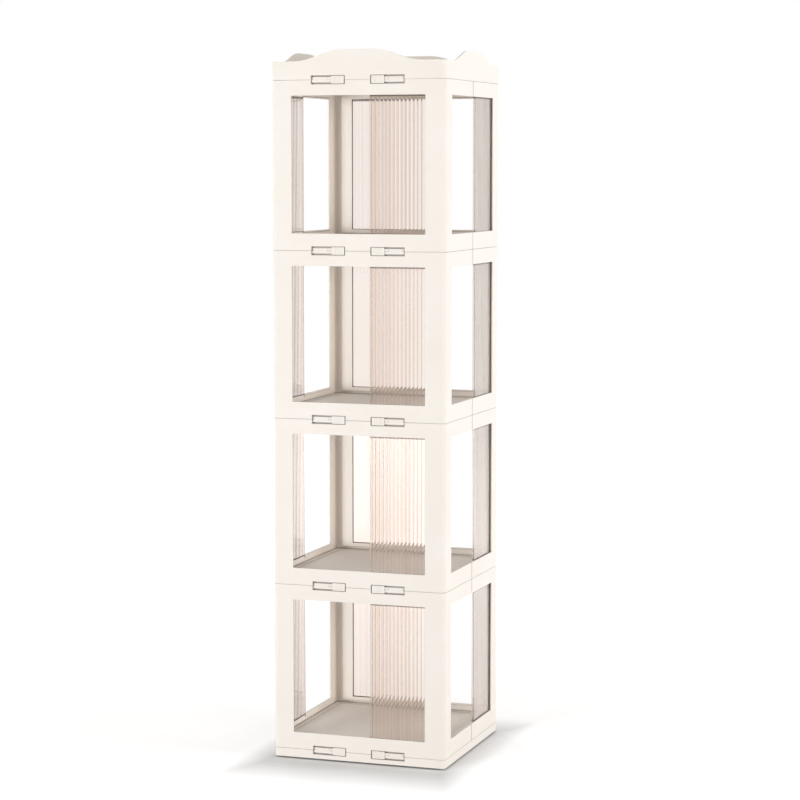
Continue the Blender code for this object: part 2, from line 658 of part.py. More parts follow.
def ball_cage_mesh():
    """Flat ring that holds the balls at even angles."""
    inner = RACE_CIRCLE - CAGE_HALF_WIDTH
    outer = RACE_CIRCLE + CAGE_HALF_WIDTH
    low = BALL_CENTRE - CAGE_THICKNESS / 2
    high = BALL_CENTRE + CAGE_THICKNESS / 2
    ring = turned("cage", [(inner, low), (outer, low), (outer, high), (inner, high)], RACE_SEGMENTS)
    bm = bmesh.new()
    for ball in range(BALL_COUNT):
        angle = (ball + 1 / 2) * 2 * math.pi / BALL_COUNT
        centre = (RACE_CIRCLE * math.cos(angle), RACE_CIRCLE * math.sin(angle), BALL_CENTRE)
        bmesh.ops.create_uvsphere(bm, u_segments=BALL_SEGMENTS, v_segments=BALL_RINGS,
                                  radius=BALL_RADIUS, matrix=Matrix.Translation(centre))
    return carve("ball_cage", ring, [("UNION", mesh_from(bm, "balls"))])


def bolt_mesh():
    """Pivot bolt: a flat head under the floor plate, and a shank up through the deck."""
    head_top = BOLT_END + BOLT_HEAD_THICKNESS
    shank_top = DECK_TOP + GAP + WASHER_THICKNESS + GAP + NUT_HEIGHT + BOLT_END
    profile = [(0, shank_top), (BOLT_RADIUS, shank_top), (BOLT_RADIUS, head_top),
               (BOLT_HEAD_RADIUS, head_top), (BOLT_HEAD_RADIUS, BOLT_END), (0, BOLT_END)]
    bm = bmesh.new()
    corners = [bm.verts.new((radius, 0, height)) for radius, height in profile]
    edges = [bm.edges.new((corners[i], corners[i + 1])) for i in range(len(corners) - 1)]
    bmesh.ops.spin(bm, geom=corners + edges, cent=(0, 0, 0), axis=(0, 0, 1),
                   angle=2 * math.pi, steps=BOLT_SEGMENTS, use_merge=True)
    bmesh.ops.remove_doubles(bm, verts=bm.verts, dist=GAP / 10)
    return mesh_from(bm, "pivot_bolt")


def ring_mesh(name, radius, start, end, segments):
    """Flat ring round the pivot bolt."""
    hole = BOLT_RADIUS + BOLT_HOLE_CLEARANCE
    outer = drum(name, radius, start, end, segments)
    bore = drum("bore", hole, start - OVERRUN, end + OVERRUN, BOLT_SEGMENTS)
    return carve(name, outer, [("DIFFERENCE", bore)])


def add_storey(index, spin, meshes, materials):
    """Add the shells, panels and board of one storey, counted from 1 at the bottom."""
    level = empty(f"storey_{index}_level", (0, 0, BASE_HEIGHT + (index - 1) * STOREY_PITCH), spin)
    for name, turn in (("front", 0), ("rear", 2)):
        place_object(f"storey_{index}_{name}_shell", meshes["shell"], materials["ivory"], level,
                     turn=turn * QUARTER)
    for name, turn in (("front", 0), ("right", 1), ("rear", 2), ("left", 3)):
        place_object(f"storey_{index}_{name}_panel", meshes["panel"], materials["tea"], level,
                     turn=turn * QUARTER)
    place_object(f"storey_{index}_shelf_board", meshes["board"], materials["ivory"], level)


def add_latches(spin, materials):
    """Add the sliders of every seam. Each slides out from the middle of its face to unlock."""
    meshes = {"front": slider_mesh(0), "rear": slider_mesh(2)}
    outside = {"front": -HALF, "rear": HALF}
    for seam in range(STOREY_COUNT + 1):
        for face in ("front", "rear"):
            for side, direction in (("left", -1), ("right", 1)):
                place_object(f"latch_{seam}_{face}_{side}", meshes[face], materials["ivory"], spin,
                             (direction * SLIDER_CENTRE, outside[face],
                              BASE_HEIGHT + seam * STOREY_PITCH))


def add_turntable(still, spin, materials):
    """Add the floor plate, feet, balls, race and pivot under the base tray."""
    place_object("floor_plate", floor_plate_mesh(), materials["steel"], still)
    foot = drum("foot", FOOT_RADIUS, 0, FLOOR_GAP, FOOT_SEGMENTS)
    for index in range(4):
        angle = (index + 1 / 2) * QUARTER
        place_object(f"foot_{index + 1}", foot, materials["rubber"], still,
                     (FOOT_CIRCLE * math.cos(angle), FOOT_CIRCLE * math.sin(angle), 0))
    cage_axis = empty("cage_axis")
    place_object("ball_cage", ball_cage_mesh(), materials["steel"], cage_axis)
    place_object("upper_race", upper_race_mesh(), materials["steel"], spin)
    washer_bottom = DECK_TOP + GAP
    nut_bottom = washer_bottom + WASHER_THICKNESS + GAP
    place_object("pivot_bolt", bolt_mesh(), materials["steel"], still)
    washer = ring_mesh("washer", WASHER_RADIUS, washer_bottom, washer_bottom + WASHER_THICKNESS,
                       BOLT_SEGMENTS)
    nut = ring_mesh("nut", NUT_ACROSS_CORNERS / 2, nut_bottom, nut_bottom + NUT_HEIGHT, NUT_SIDES)
    place_object("pivot_washer", washer, materials["steel"], still)
    place_object("pivot_lock_nut", nut, materials["steel"], still)


def main():
    clear_scene()
    materials = {
        "ivory": plain_material("ivory_plastic", (0.91, 0.85, 0.77), 0.42),
        "tea": plain_material("tea_clear_plastic", (0.72, 0.50, 0.40), 0.12, transmission=0.9),
        "steel": plain_material("zinc_steel", (0.62, 0.63, 0.64), 0.35, metallic=1.0),
        "rubber": plain_material("grey_rubber", (0.06, 0.06, 0.06), 0.8),
    }
    still = empty("floor_point")
    spin = empty("spin_axis")
    meshes = {"shell": shell_mesh(), "panel": panel_mesh(), "board": board_mesh()}
    add_turntable(still, spin, materials)
    place_object("base_tray", base_tray_mesh(), materials["ivory"], spin)
    for index in range(1, STOREY_COUNT + 1):
        add_storey(index, spin, meshes, materials)
    place_object("top_tray", top_tray_mesh(), materials["ivory"], spin, (0, 0, TOP_SEAM))
    add_latches(spin, materials)


main()
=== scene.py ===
"""Rotating shelf unit: its mouldings in full detail, their finishes and a plain stage.

Run as a script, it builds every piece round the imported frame. As an add-on, it lists the same steps
in the 3D view's sidebar. Units are metres. The origin is on the floor below the tower's middle, and
the front faces -Y.
"""

import json
import math

import bmesh
import bpy
from bpy.props import FloatProperty, FloatVectorProperty, IntProperty, PointerProperty
from mathutils import Matrix, Vector

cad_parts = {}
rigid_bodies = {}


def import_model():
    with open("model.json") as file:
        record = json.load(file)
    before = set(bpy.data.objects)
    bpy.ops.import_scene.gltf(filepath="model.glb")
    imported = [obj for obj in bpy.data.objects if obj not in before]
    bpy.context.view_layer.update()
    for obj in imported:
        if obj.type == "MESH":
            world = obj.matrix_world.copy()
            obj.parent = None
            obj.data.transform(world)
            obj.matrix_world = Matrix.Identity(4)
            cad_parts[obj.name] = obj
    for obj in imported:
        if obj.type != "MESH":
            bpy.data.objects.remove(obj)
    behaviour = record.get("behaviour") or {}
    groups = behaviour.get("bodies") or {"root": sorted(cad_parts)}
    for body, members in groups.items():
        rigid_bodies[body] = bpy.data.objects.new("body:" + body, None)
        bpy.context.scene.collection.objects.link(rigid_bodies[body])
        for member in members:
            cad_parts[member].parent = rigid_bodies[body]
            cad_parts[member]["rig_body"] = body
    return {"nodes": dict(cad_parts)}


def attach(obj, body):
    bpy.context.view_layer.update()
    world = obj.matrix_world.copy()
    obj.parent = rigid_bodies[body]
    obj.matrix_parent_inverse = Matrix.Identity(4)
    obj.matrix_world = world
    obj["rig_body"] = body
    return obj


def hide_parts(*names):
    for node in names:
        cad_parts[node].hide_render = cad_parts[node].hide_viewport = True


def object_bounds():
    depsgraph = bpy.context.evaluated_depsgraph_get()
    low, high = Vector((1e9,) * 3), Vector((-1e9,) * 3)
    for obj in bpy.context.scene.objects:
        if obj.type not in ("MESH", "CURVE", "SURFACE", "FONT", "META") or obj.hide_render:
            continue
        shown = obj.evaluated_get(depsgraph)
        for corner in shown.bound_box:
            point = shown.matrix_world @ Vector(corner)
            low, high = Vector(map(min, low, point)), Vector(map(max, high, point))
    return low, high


bl_info = {
    "name": "Rotating Shelf Unit",
    "version": (1, 0, 0),
    "blender": (4, 5, 0),
    "location": "3D View > Sidebar > Shelf Unit",
    "description": "Builds the mouldings, reeded panels, latches and turntable of a rotating shelf unit",
    "category": "Object",
}

for item in list(bpy.data.objects):
    bpy.data.objects.remove(item, do_unlink=True)
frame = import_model()
CAD_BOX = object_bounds()

# Sizes shared with the solids
HALF = CAD_BOX[1].x
STOREY_COUNT = 4
STOREY_PITCH = 0.315
WALL = 0.0025
CORNER_RADIUS = 0.008
STILE_WIDTH = 0.039
TOP_RAIL = 0.0284
BOTTOM_RAIL = 0.0318
LIP_DEPTH = 0.0065
LIP_THICKNESS = 0.002
FLANGE_WIDTH = 0.0165
FLANGE_THICKNESS = 0.003
GAP = 0.0003
SEAM_GAP = 0.0004
OVERRUN = 0.002
BITE = 0.0008
PEG_RADIUS = 0.0035
PEG_INSET = 0.0125
PEG_CLEARANCE = 0.0004
TONGUE_THICKNESS = 0.002
TONGUE_HEIGHT = 0.009
TONGUE_REACH = 0.014
TONGUE_ROOT = 0.012
TONGUE_STANDOFF = 0.0042
BARB_HEIGHT = 0.0012
BARB_LENGTH = 0.003
BARB_SETBACK = 0.004
BARB_MARGIN = 0.0018
PANEL_THICKNESS = 0.003
PANEL_FREE_EDGE = 0.0225
PANEL_ENGAGEMENT = 0.006
PANEL_SIDE_ENGAGEMENT = 0.020
PANEL_LIFT = 0.0065
BEAD_WIDTH = 0.004
BEAD_THICKNESS = 0.0045
REED_MARGIN = 0.003
GUIDE_WALL = 0.0018
GUIDE_COVER = 0.005
BOARD_TOP = 0.0175
BOARD_THICKNESS = 0.003
BOARD_EDGE_GAP = 0.0008
SKIRT_SETBACK = 0.0155
SKIRT_THICKNESS = 0.0025
RIB_THICKNESS = 0.002
RIB_HEIGHT = 0.007
RIB_OFFSET = 0.062
RECESS_START = 0.025
RECESS_LENGTH = 0.0665
RECESS_HALF = 0.00825
RECESS_DEPTH = 0.0013
SLOT_INSET = 0.0015
BAR_HALF = 0.005
BAR_THICKNESS = 0.0015
WEB_HALF = 0.0024
HOOK_THICKNESS = 0.0015
TAB_MARGIN = 0.0052
TAB_SETBACK = 0.0001
HOUSING_WALL = 0.0018
SLIDER_LENGTH = 0.028
SLIDER_INSET = 0.0002
TRAY_CORNER_HEIGHT = 0.0343
TRAY_PEAK_HEIGHT = 0.0556
ARCH_TOP_HALF = 0.030
ARCH_FOOT_HALF = 0.125
TRAY_BOSS = 0.018
BASE_HEIGHT = 0.0194
FLOOR_GAP = 0.003
DECK_THICKNESS = 0.003
FOOT_RADIUS = 0.012
FOOT_SETBACK = 0.016
PLATE_RADIUS = 0.150
PLATE_THICKNESS = 0.002
RACE_CIRCLE = 0.100
RACE_HALF_WIDTH = 0.005
RACE_LAND = 0.003
RACE_GROOVE_DEPTH = 0.0007
RACE_HEIGHT = 0.001
UPPER_RACE_RADIUS = 0.115
BALL_RADIUS = 0.0025
BALL_COUNT = 8
CAGE_HALF_WIDTH = 0.0038
CAGE_THICKNESS = 0.001
BOLT_RADIUS = 0.004
BOLT_HEAD_RADIUS = 0.010
BOLT_HEAD_THICKNESS = 0.0018
BOLT_END = 0.0012
BOLT_HOLE_CLEARANCE = 0.0004
WASHER_RADIUS = 0.010
WASHER_THICKNESS = 0.0015
NUT_ACROSS_CORNERS = 0.015
NUT_HEIGHT = 0.0065

# Sizes of fine details, which the solids have plainer or not at all
REED_PITCH = 0.0075
REED_SETBACK = 0.0008
BEAD_ROUND = 0.0008
GRIP_PITCH = 0.0034
GRIP_RADIUS = 0.0016
GRIP_SINK = 0.0004
SLIDER_ROUND = 0.00025
SLIDER_SINK_DIVISOR = 5
TAB_RAMP = 0.004
SEAM_GROOVE_DEPTH = 0.0012
BORDER_GROOVE_WIDTH = 0.0015
BORDER_GROOVE_DEPTH = 0.0005
PLATE_CHAMFER = 0.0005
FOOT_ROUND = 0.0006
BOLT_CHAMFER = 0.0006
WASHER_CHAMFER = 0.0002
NUT_CONE_OUTSIDE = 0.001
NUT_CONE_START = 0.0022
NUT_COLLAR_INSET = 0.001
NUT_COLLAR_HEIGHT = 0.001
NUT_TOP_INSET = 0.0026

# Worked out from the sizes above
INNER_HALF = HALF - WALL
INNER_RADIUS = CORNER_RADIUS - WALL
WINDOW_HALF = HALF - STILE_WIDTH
SHELL_BOTTOM = SEAM_GAP / 2
SHELL_TOP = STOREY_PITCH - SEAM_GAP / 2
WINDOW_BOTTOM = BOTTOM_RAIL
WINDOW_TOP = STOREY_PITCH - TOP_RAIL
PANEL_DEPTH = WALL + GAP
PANEL_BACK = PANEL_DEPTH + PANEL_THICKNESS
PANEL_BOTTOM = WINDOW_BOTTOM - PANEL_ENGAGEMENT
PANEL_TOP = WINDOW_TOP + PANEL_ENGAGEMENT
PANEL_OUTER_EDGE = WINDOW_HALF + PANEL_SIDE_ENGAGEMENT
BEAD_END = PANEL_FREE_EDGE + BEAD_WIDTH
GUIDE_START = BEAD_END + GAP
GUIDE_FLOOR = PANEL_BOTTOM - GAP
GUIDE_ROOF = PANEL_TOP + PANEL_LIFT
GUIDE_SIDE = PANEL_OUTER_EDGE + GAP
GUIDE_BACK = PANEL_BACK + GAP + GUIDE_WALL
GROOVE_HALF = RECESS_HALF - GAP
BAR_BACK = RECESS_DEPTH + BAR_THICKNESS
CAVITY_BACK = BAR_BACK + GAP + HOOK_THICKNESS + GAP
HOUSING_HALF = RECESS_HALF + HOUSING_WALL
HOUSING_BACK = CAVITY_BACK + HOUSING_WALL
RECESS_END = RECESS_START + RECESS_LENGTH
SLOT_START = RECESS_START + SLOT_INSET
SLOT_END = RECESS_END - SLOT_INSET
LATCH_TRAVEL = RECESS_LENGTH - SLIDER_LENGTH - 2 * GAP
TAB_START = SLOT_START + GAP + LATCH_TRAVEL - TAB_MARGIN
SLIDER_CENTRE = RECESS_START + GAP + SLIDER_LENGTH / 2
TONGUE_LEVELS = (TONGUE_STANDOFF, STOREY_PITCH - TONGUE_STANDOFF * 2 - TONGUE_HEIGHT)
PEG_PLACE = HALF - PEG_INSET
BOARD_UNDERSIDE = BOARD_TOP - BOARD_THICKNESS
DECK_TOP = BASE_HEIGHT - SEAM_GAP / 2
DECK_BOTTOM = DECK_TOP - DECK_THICKNESS
FOOT_CIRCLE = PLATE_RADIUS - FOOT_SETBACK
PLATE_BOTTOM = FLOOR_GAP + GAP
PLATE_TOP = PLATE_BOTTOM + PLATE_THICKNESS
LOWER_RACE_TOP = PLATE_TOP + RACE_HEIGHT
BALL_CENTRE = LOWER_RACE_TOP - RACE_GROOVE_DEPTH + GAP + BALL_RADIUS
UPPER_RACE_TOP = DECK_BOTTOM - GAP
UPPER_RACE_SEAT = UPPER_RACE_TOP - PLATE_THICKNESS
UPPER_RACE_FACE = 2 * BALL_CENTRE - LOWER_RACE_TOP
BOLT_HOLE = BOLT_RADIUS + BOLT_HOLE_CLEARANCE
TOP_SEAM = BASE_HEIGHT + STOREY_COUNT * STOREY_PITCH
QUARTER = math.pi / 2

# How finely curves are cut, and how close two places are to be the same
CORNER_STEPS = 8
ARCH_STEPS = 20
REED_STEPS = 6
RACE_STEPS = 8
WINDOW_STEPS = 5
EDGE_STEPS = 3
INNER_EDGE_STEPS = 2
ROUND_STEPS = 24
WIDE_ROUND_STEPS = 96
TINY = 1e-5
SLIVER = TINY / 10
CREASE = math.radians(60)
FACING_UP = 0.5
SMOOTH_UP_TO = math.radians(35)


# Settings that a user would change

class ShelfShape(bpy.types.PropertyGroup):
    """Fine sizes that the solids leave out."""

    edge_round: FloatProperty(
        name="Edge rounding", description="Rounding of the moulded edges on the outside",
        default=0.0003, min=0.0001, max=0.0007, precision=4, unit="LENGTH")
    seam_groove: FloatProperty(
        name="Side seam groove", description="Half the width of the groove where two half shells meet",
        default=0.0011, min=0.0005, max=0.0015, precision=4, unit="LENGTH")
    window_round: FloatProperty(
        name="Window corners", description="Radius of the corners of the windows",
        default=0.0018, min=0.001, max=0.004, precision=4, unit="LENGTH")
    recess_round: FloatProperty(
        name="Recess corners", description="Radius of the corners of the latch recesses",
        default=0.0007, min=0.0002, max=0.0012, precision=4, unit="LENGTH")
    rim_round: FloatProperty(
        name="Tray rim rounding", description="Rounding on both sides of the top tray's rim",
        default=0.0009, min=0.0002, max=0.0011, precision=4, unit="LENGTH")
    inner_round: FloatProperty(
        name="Inner edge rounding", description="Rounding of flanges, lips and housings inside",
        default=0.0004, min=0.0001, max=0.0006, precision=4, unit="LENGTH")
    reed_depth: FloatProperty(
        name="Reed depth", description="How far each reed of a panel bulges out",
        default=0.0008, min=0.0002, max=0.0008, precision=4, unit="LENGTH")
    slider_play: FloatProperty(
        name="Slider play", description="Extra gap round the face of a latch slider",
        default=0.0007, min=0.0001, max=0.0008, precision=5, unit="LENGTH")
    slider_end_gap: FloatProperty(
        name="Slider end gap", description="Extra gap at both ends of the face of a latch slider",
        default=0.0013, min=0.0002, max=0.0014, precision=4, unit="LENGTH")
    end_groove: FloatProperty(
        name="End groove", description="Depth of the groove across each end of a latch recess",
        default=0.0009, min=0.0002, max=0.0010, precision=4, unit="LENGTH")
    guide_reveal: FloatProperty(
        name="Guide reveal", description="How far a panel's guide stands back from the window",
        default=0.0005, min=0.0003, max=0.008, precision=4, unit="LENGTH")
    grip_count: IntProperty(
        name="Grips", description="Scallops across the face of a latch slider",
        default=5, min=3, max=6)
    groove_inset: FloatProperty(
        name="Board groove", description="Distance of the shallow groove from a board's edge",
        default=0.012, min=0.006, max=0.020, precision=4, unit="LENGTH")


class ShelfColours(bpy.types.PropertyGroup):
    """Colours of the finishes."""

    ivory: FloatVectorProperty(
        name="Ivory plastic", description="Colour of the frames, boards, trays and latches",
        subtype="COLOR", size=3, min=0.0, max=1.0, default=(0.878, 0.826, 0.770))
    tea: FloatVectorProperty(
        name="Tea plastic", description="Tint of the reeded panels",
        subtype="COLOR", size=3, min=0.0, max=1.0, default=(0.90, 0.82, 0.77))
    steel: FloatVectorProperty(
        name="Zinc steel", description="Colour of the turntable's plated parts",
        subtype="COLOR", size=3, min=0.0, max=1.0, default=(0.60, 0.61, 0.62))
    rubber: FloatVectorProperty(
        name="Grey rubber", description="Colour of the feet",
        subtype="COLOR", size=3, min=0.0, max=1.0, default=(0.055, 0.055, 0.057))
    floor: FloatVectorProperty(
        name="Floor", description="Colour of the floor that the tower stands on",
        subtype="COLOR", size=3, min=0.0, max=1.0, default=(0.86, 0.86, 0.86))


# Mesh tools

def near(first, second):
    """True where two measures are the same."""
    return abs(first - second) < TINY


def finished(bm, name):
    """Turn a bmesh into a mesh without slivers or loose edges, whose faces point out."""
    bmesh.ops.dissolve_degenerate(bm, edges=bm.edges, dist=SLIVER)
    bmesh.ops.delete(bm, geom=[edge for edge in bm.edges if not edge.link_faces], context="EDGES")
    bmesh.ops.recalc_face_normals(bm, faces=bm.faces)
    mesh = bpy.data.meshes.new(name)
    bm.to_mesh(mesh)
    bm.free()
    return mesh


def opened(mesh):
    """A bmesh with the faces of a mesh."""
    bm = bmesh.new()
    bm.from_mesh(mesh)
    return bm


def round_edges(bm, offset, steps, chosen):
    """Bevel the edges that a test chooses."""
    edges = [edge for edge in bm.edges if chosen(edge)]
    bmesh.ops.bevel(bm, geom=edges, offset=offset, segments=steps, affect="EDGES",
                    profile=0.5, material=-1, clamp_overlap=True)


def rounded(mesh, offset, steps, chosen):
    """A mesh with the edges that a test chooses bevelled."""
    bm = opened(mesh)
    round_edges(bm, offset, steps, chosen)
    return finished(bm, mesh.name)


def boxes(name, corner_pairs, rounding=0.0):
    """One mesh with a box for each pair of low and high corners, all edges rounded if asked."""
    bm = bmesh.new()
    for low, high in corner_pairs:
        size = Vector(high) - Vector(low)
        middle = (Vector(high) + Vector(low)) / 2
        place = Matrix.Translation(middle) @ Matrix.Diagonal((*size, 1.0))
        bmesh.ops.create_cube(bm, size=1.0, matrix=place)
    if rounding:
        round_edges(bm, rounding, INNER_EDGE_STEPS, lambda edge: True)
    return finished(bm, name)


def prism(outline, start, end):
    """A bmesh with a flat outline extruded along Z."""
    bm = bmesh.new()
    face = bm.faces.new([bm.verts.new((x, y, start)) for x, y in outline])
    grown = bmesh.ops.extrude_face_region(bm, geom=[face])
    moved = [item for item in grown["geom"] if isinstance(item, bmesh.types.BMVert)]
    bmesh.ops.translate(bm, verts=moved, vec=(0, 0, end - start))
    bmesh.ops.recalc_face_normals(bm, faces=bm.faces)
    return bm


def round_corners(bm, half, radius):
    """Round the upright edges in the corners of a square."""
    round_edges(bm, radius, CORNER_STEPS, lambda edge: all(
        near(abs(vert.co.x), half) and near(abs(vert.co.y), half) for vert in edge.verts)
        and not near(edge.verts[0].co.z, edge.verts[1].co.z))


def rounded_slab(name, half, radius, start, end):
    """A square slab with rounded corners."""
    bm = prism([(-half, -half), (half, -half), (half, half), (-half, half)], start, end)
    round_corners(bm, half, radius)
    return finished(bm, name)


def half_ring(name, outer, outer_radius, inner, inner_radius, start, end):
    """The front half of a square ring with rounded corners, open at the side seams."""
    seam = -SEAM_GAP / 2
    bm = prism([(-outer, seam), (-outer, -outer), (outer, -outer), (outer, seam),
                (inner, seam), (inner, -inner), (-inner, -inner), (-inner, seam)], start, end)
    round_corners(bm, outer, outer_radius)
    round_corners(bm, inner, inner_radius)
    return finished(bm, name)


def posts(name, radius, start, end, places=((0, 0),), steps=ROUND_STEPS, rounding=0.0):
    """Upright round posts, one at each place, with rounded rims if asked."""
    bm = bmesh.new()
    for x, y in places:
        place = Matrix.Translation((x, y, (start + end) / 2))
        bmesh.ops.create_cone(bm, cap_ends=True, segments=steps, radius1=radius,
                              radius2=radius, depth=end - start, matrix=place)
    if rounding:
        round_edges(bm, rounding, INNER_EDGE_STEPS,
                    lambda edge: near(edge.verts[0].co.z, edge.verts[1].co.z))
    return finished(bm, name)


def turned(name, profile, steps, closed=True):
    """Spin a profile of radius and height points once round the Z axis."""
    bm = bmesh.new()
    corners = [bm.verts.new((radius, 0, height)) for radius, height in profile]
    pairs = list(zip(corners, corners[1:]))
    if closed:
        pairs.append((corners[-1], corners[0]))
    edges = [bm.edges.new(pair) for pair in pairs]
    bmesh.ops.spin(bm, geom=corners + edges, cent=(0, 0, 0), axis=(0, 0, 1),
                   angle=2 * math.pi, steps=steps, use_merge=True)
    bmesh.ops.remove_doubles(bm, verts=bm.verts, dist=TINY)
    return finished(bm, name)


def copies(mesh, frames):
    """One mesh with a copy of another at each matrix."""
    bm = bmesh.new()
    for place in frames:
        first = len(bm.verts)
        bm.from_mesh(mesh)
        bm.verts.ensure_lookup_table()
        bmesh.ops.transform(bm, matrix=place, verts=bm.verts[first:])
    return finished(bm, mesh.name)


def joined(meshes):
    """One mesh with the faces of several."""
    bm = bmesh.new()
    for mesh in meshes:
        bm.from_mesh(mesh)
    return finished(bm, meshes[0].name)


def carved(name, start, steps):
    """Apply Boolean steps, each an operation and a mesh, to a start mesh."""
    body = bpy.data.objects.new(name, start)
    bpy.context.scene.collection.objects.link(body)
    tools = []
    for operation, mesh in steps:
        tool = bpy.data.objects.new("cutter", mesh)
        bpy.context.scene.collection.objects.link(tool)
        modifier = body.modifiers.new(operation.lower(), "BOOLEAN")
        modifier.operation = operation
        modifier.object = tool
        modifier.solver = "EXACT"
        tools.append(tool)
    bpy.context.view_layer.update()
    evaluated = body.evaluated_get(bpy.context.evaluated_depsgraph_get())
    result = bpy.data.meshes.new_from_object(evaluated)
    for obj in [body] + tools:
        bpy.data.objects.remove(obj, do_unlink=True)
    return finished(opened(result), name)


def cut(mesh):
    """Boolean step that takes a mesh away."""
    return "DIFFERENCE", mesh


def add(mesh):
    """Boolean step that joins a mesh on."""
    return "UNION", mesh


# Places on the tower

def quarter_turn(count):
    """Matrix of a number of quarter turns about the tower's axis."""
    return Matrix.Rotation(count * QUARTER, 4, "Z")


def raised(height):
    """Matrix that lifts a piece."""
    return Matrix.Translation((0, 0, height))


def face_box(along, depth, height):
    """Corners of a box on the front face, from its ranges along the face, into it and up."""
    return (along[0], -HALF + depth[0], height[0]), (along[1], -HALF + depth[1], height[1])


def both_sides(along):
    """A range along a face, and the same range on the other side of the middle."""
    return along, (-along[1], -along[0])


def depth_in(point, half, radius):
    """How far a point lies inside a square with rounded corners."""
    past_x = abs(point.x) - (half - radius)
    past_y = abs(point.y) - (half - radius)
    if past_x > 0 and past_y > 0:
        return radius - math.hypot(past_x, past_y)
    return half - max(abs(point.x), abs(point.y))


def on_skin(edge, half=HALF, radius=CORNER_RADIUS):
    """True for a crease that runs along the outside of a square with rounded corners."""
    return (edge.calc_face_angle(0) > CREASE
            and all(abs(depth_in(vert.co, half, radius)) < TINY for vert in edge.verts))


def through_wall(edge, thickness):
    """True for a level edge that runs straight into a face of the tower for that far."""
    return near(edge.verts[0].co.z, edge.verts[1].co.z) and near(edge.calc_length(), thickness)


def place_along(edge):
    """How far along its face an edge lies that runs straight into that face."""
    start, end = (vert.co for vert in edge.verts)
    return abs(start.x) if near(start.x, end.x) else abs(start.y)


def corner_places():
    """Middles of the four pegs."""
    return [(x * PEG_PLACE, y * PEG_PLACE) for x in (-1, 1) for y in (-1, 1)]


# Latch shapes that frames and trays share

def latch_frames(levels, faces):
    """Matrices that carry a pair of latches to each level of each face."""
    return [quarter_turn(face) @ raised(level) for level in levels for face in faces]


def recess_cut(levels, faces):
    """Shallow recess for each latch."""
    pair = boxes("recess", [face_box(part, (-OVERRUN, RECESS_DEPTH), (-RECESS_HALF, RECESS_HALF))
                            for part in both_sides((RECESS_START, RECESS_END))])
    return cut(copies(pair, latch_frames(levels, faces)))


def is_recess_corner(edge):
    """True for the short edges in the corners of a latch recess."""
    return through_wall(edge, RECESS_DEPTH) and (
        near(place_along(edge), RECESS_START) or near(place_along(edge), RECESS_END))


def latch_rods(name, outline, start, end, slope=0.0):
    """Rods along the front face for both latches, from an outline of depth and height."""
    across = Matrix(((0, 0, 1, 0), (1, 0, 0, -HALF), (0, 1, 0, 0), (0, 0, 0, 1)))
    bm = prism(outline, start, end)
    if slope:
        front = min(depth for depth, height in outline)
        cut_edges = bmesh.ops.bisect_plane(
            bm, geom=bm.verts[:] + bm.edges[:] + bm.faces[:], plane_co=(front, 0, end - slope),
            plane_no=(-slope, 0, BAR_BACK - front), clear_outer=True, dist=SLIVER)
        rim = [item for item in cut_edges["geom_cut"] if isinstance(item, bmesh.types.BMEdge)]
        bmesh.ops.edgeloop_fill(bm, edges=rim)
    bmesh.ops.transform(bm, matrix=across, verts=bm.verts)
    return copies(finished(bm, name), (Matrix.Identity(4), Matrix.Scale(-1, 4, (1, 0, 0))))


def groove_cut(levels, faces):
    """Grooves for the slider's hooks, above and below the bar that it wraps round."""
    upper = [(-OVERRUN, GROOVE_HALF), (-OVERRUN, BAR_HALF), (BAR_BACK, BAR_HALF),
             (BAR_BACK, WEB_HALF), (CAVITY_BACK, WEB_HALF), (CAVITY_BACK, GROOVE_HALF)]
    lower = [(depth, -height) for depth, height in upper[::-1]]
    pair = joined([latch_rods("grooves", outline, SLOT_START, SLOT_END) for outline in (upper, lower)])
    return cut(copies(pair, latch_frames(levels, faces)))


def end_groove_cut(shape, levels, faces):
    """Shallow upright grooves across both ends of each recess."""
    half = RECESS_HALF - shape.recess_round - TAB_SETBACK
    ends = ((RECESS_START + TAB_SETBACK, SLOT_START + 2 * TAB_SETBACK),
            (SLOT_END - 2 * TAB_SETBACK, RECESS_END - TAB_SETBACK))
    pair = boxes("end_grooves", [face_box(part, (-OVERRUN, RECESS_DEPTH + shape.end_groove), (-half, half))
                                 for end in ends for part in both_sides(end)])
    return cut(copies(pair, latch_frames(levels, faces)))


def notch_cut(levels, faces):
    """Notches in an upper edge for the tabs that stand up from the edge below it."""
    half = (BAR_HALF + GROOVE_HALF) / 2
    pair = boxes("notches", [face_box(part, (-OVERRUN, CAVITY_BACK + TAB_SETBACK), (-half, half))
                             for part in both_sides((TAB_START, SLOT_END + GAP))])
    return cut(copies(pair, latch_frames(levels, faces)))


def tab_union(levels, faces):
    """Tabs that stand up from a lower edge, with a ramp at the end where the slider goes on."""
    front = RECESS_DEPTH + TAB_SETBACK
    web_back = CAVITY_BACK - GAP
    root = -SEAM_GAP / 2 - BITE
    outline = [(front, root), (front, BAR_HALF), (BAR_BACK, BAR_HALF),
               (BAR_BACK, WEB_HALF), (web_back, WEB_HALF), (web_back, root)]
    pair = latch_rods("tabs", outline, TAB_START + GAP, SLOT_END - GAP, TAB_RAMP)
    return add(copies(pair, latch_frames(levels, faces)))


def housings(ranges, faces, rounding=0.0):
    """Blocks behind the wall that the latch grooves are cut into."""
    span = (SLOT_START - HOUSING_WALL, SLOT_END + HOUSING_WALL)
    block = boxes("housings", [face_box(part, (WALL - BITE, HOUSING_BACK), height)
                               for part in both_sides(span) for height in ranges], rounding)
    return copies(block, [quarter_turn(face) for face in faces])


# Half shells

def side_seam_cut(shape):
    """Shallow upright groove in the middle of both side faces, where two half shells meet."""
    groove = boxes("seam_groove", [face_box((-shape.seam_groove, shape.seam_groove),
                                            (-OVERRUN, SEAM_GROOVE_DEPTH),
                                            (SHELL_BOTTOM - OVERRUN, SHELL_TOP + OVERRUN))])
    return cut(copies(groove, [quarter_turn(side) for side in (1, 3)]))


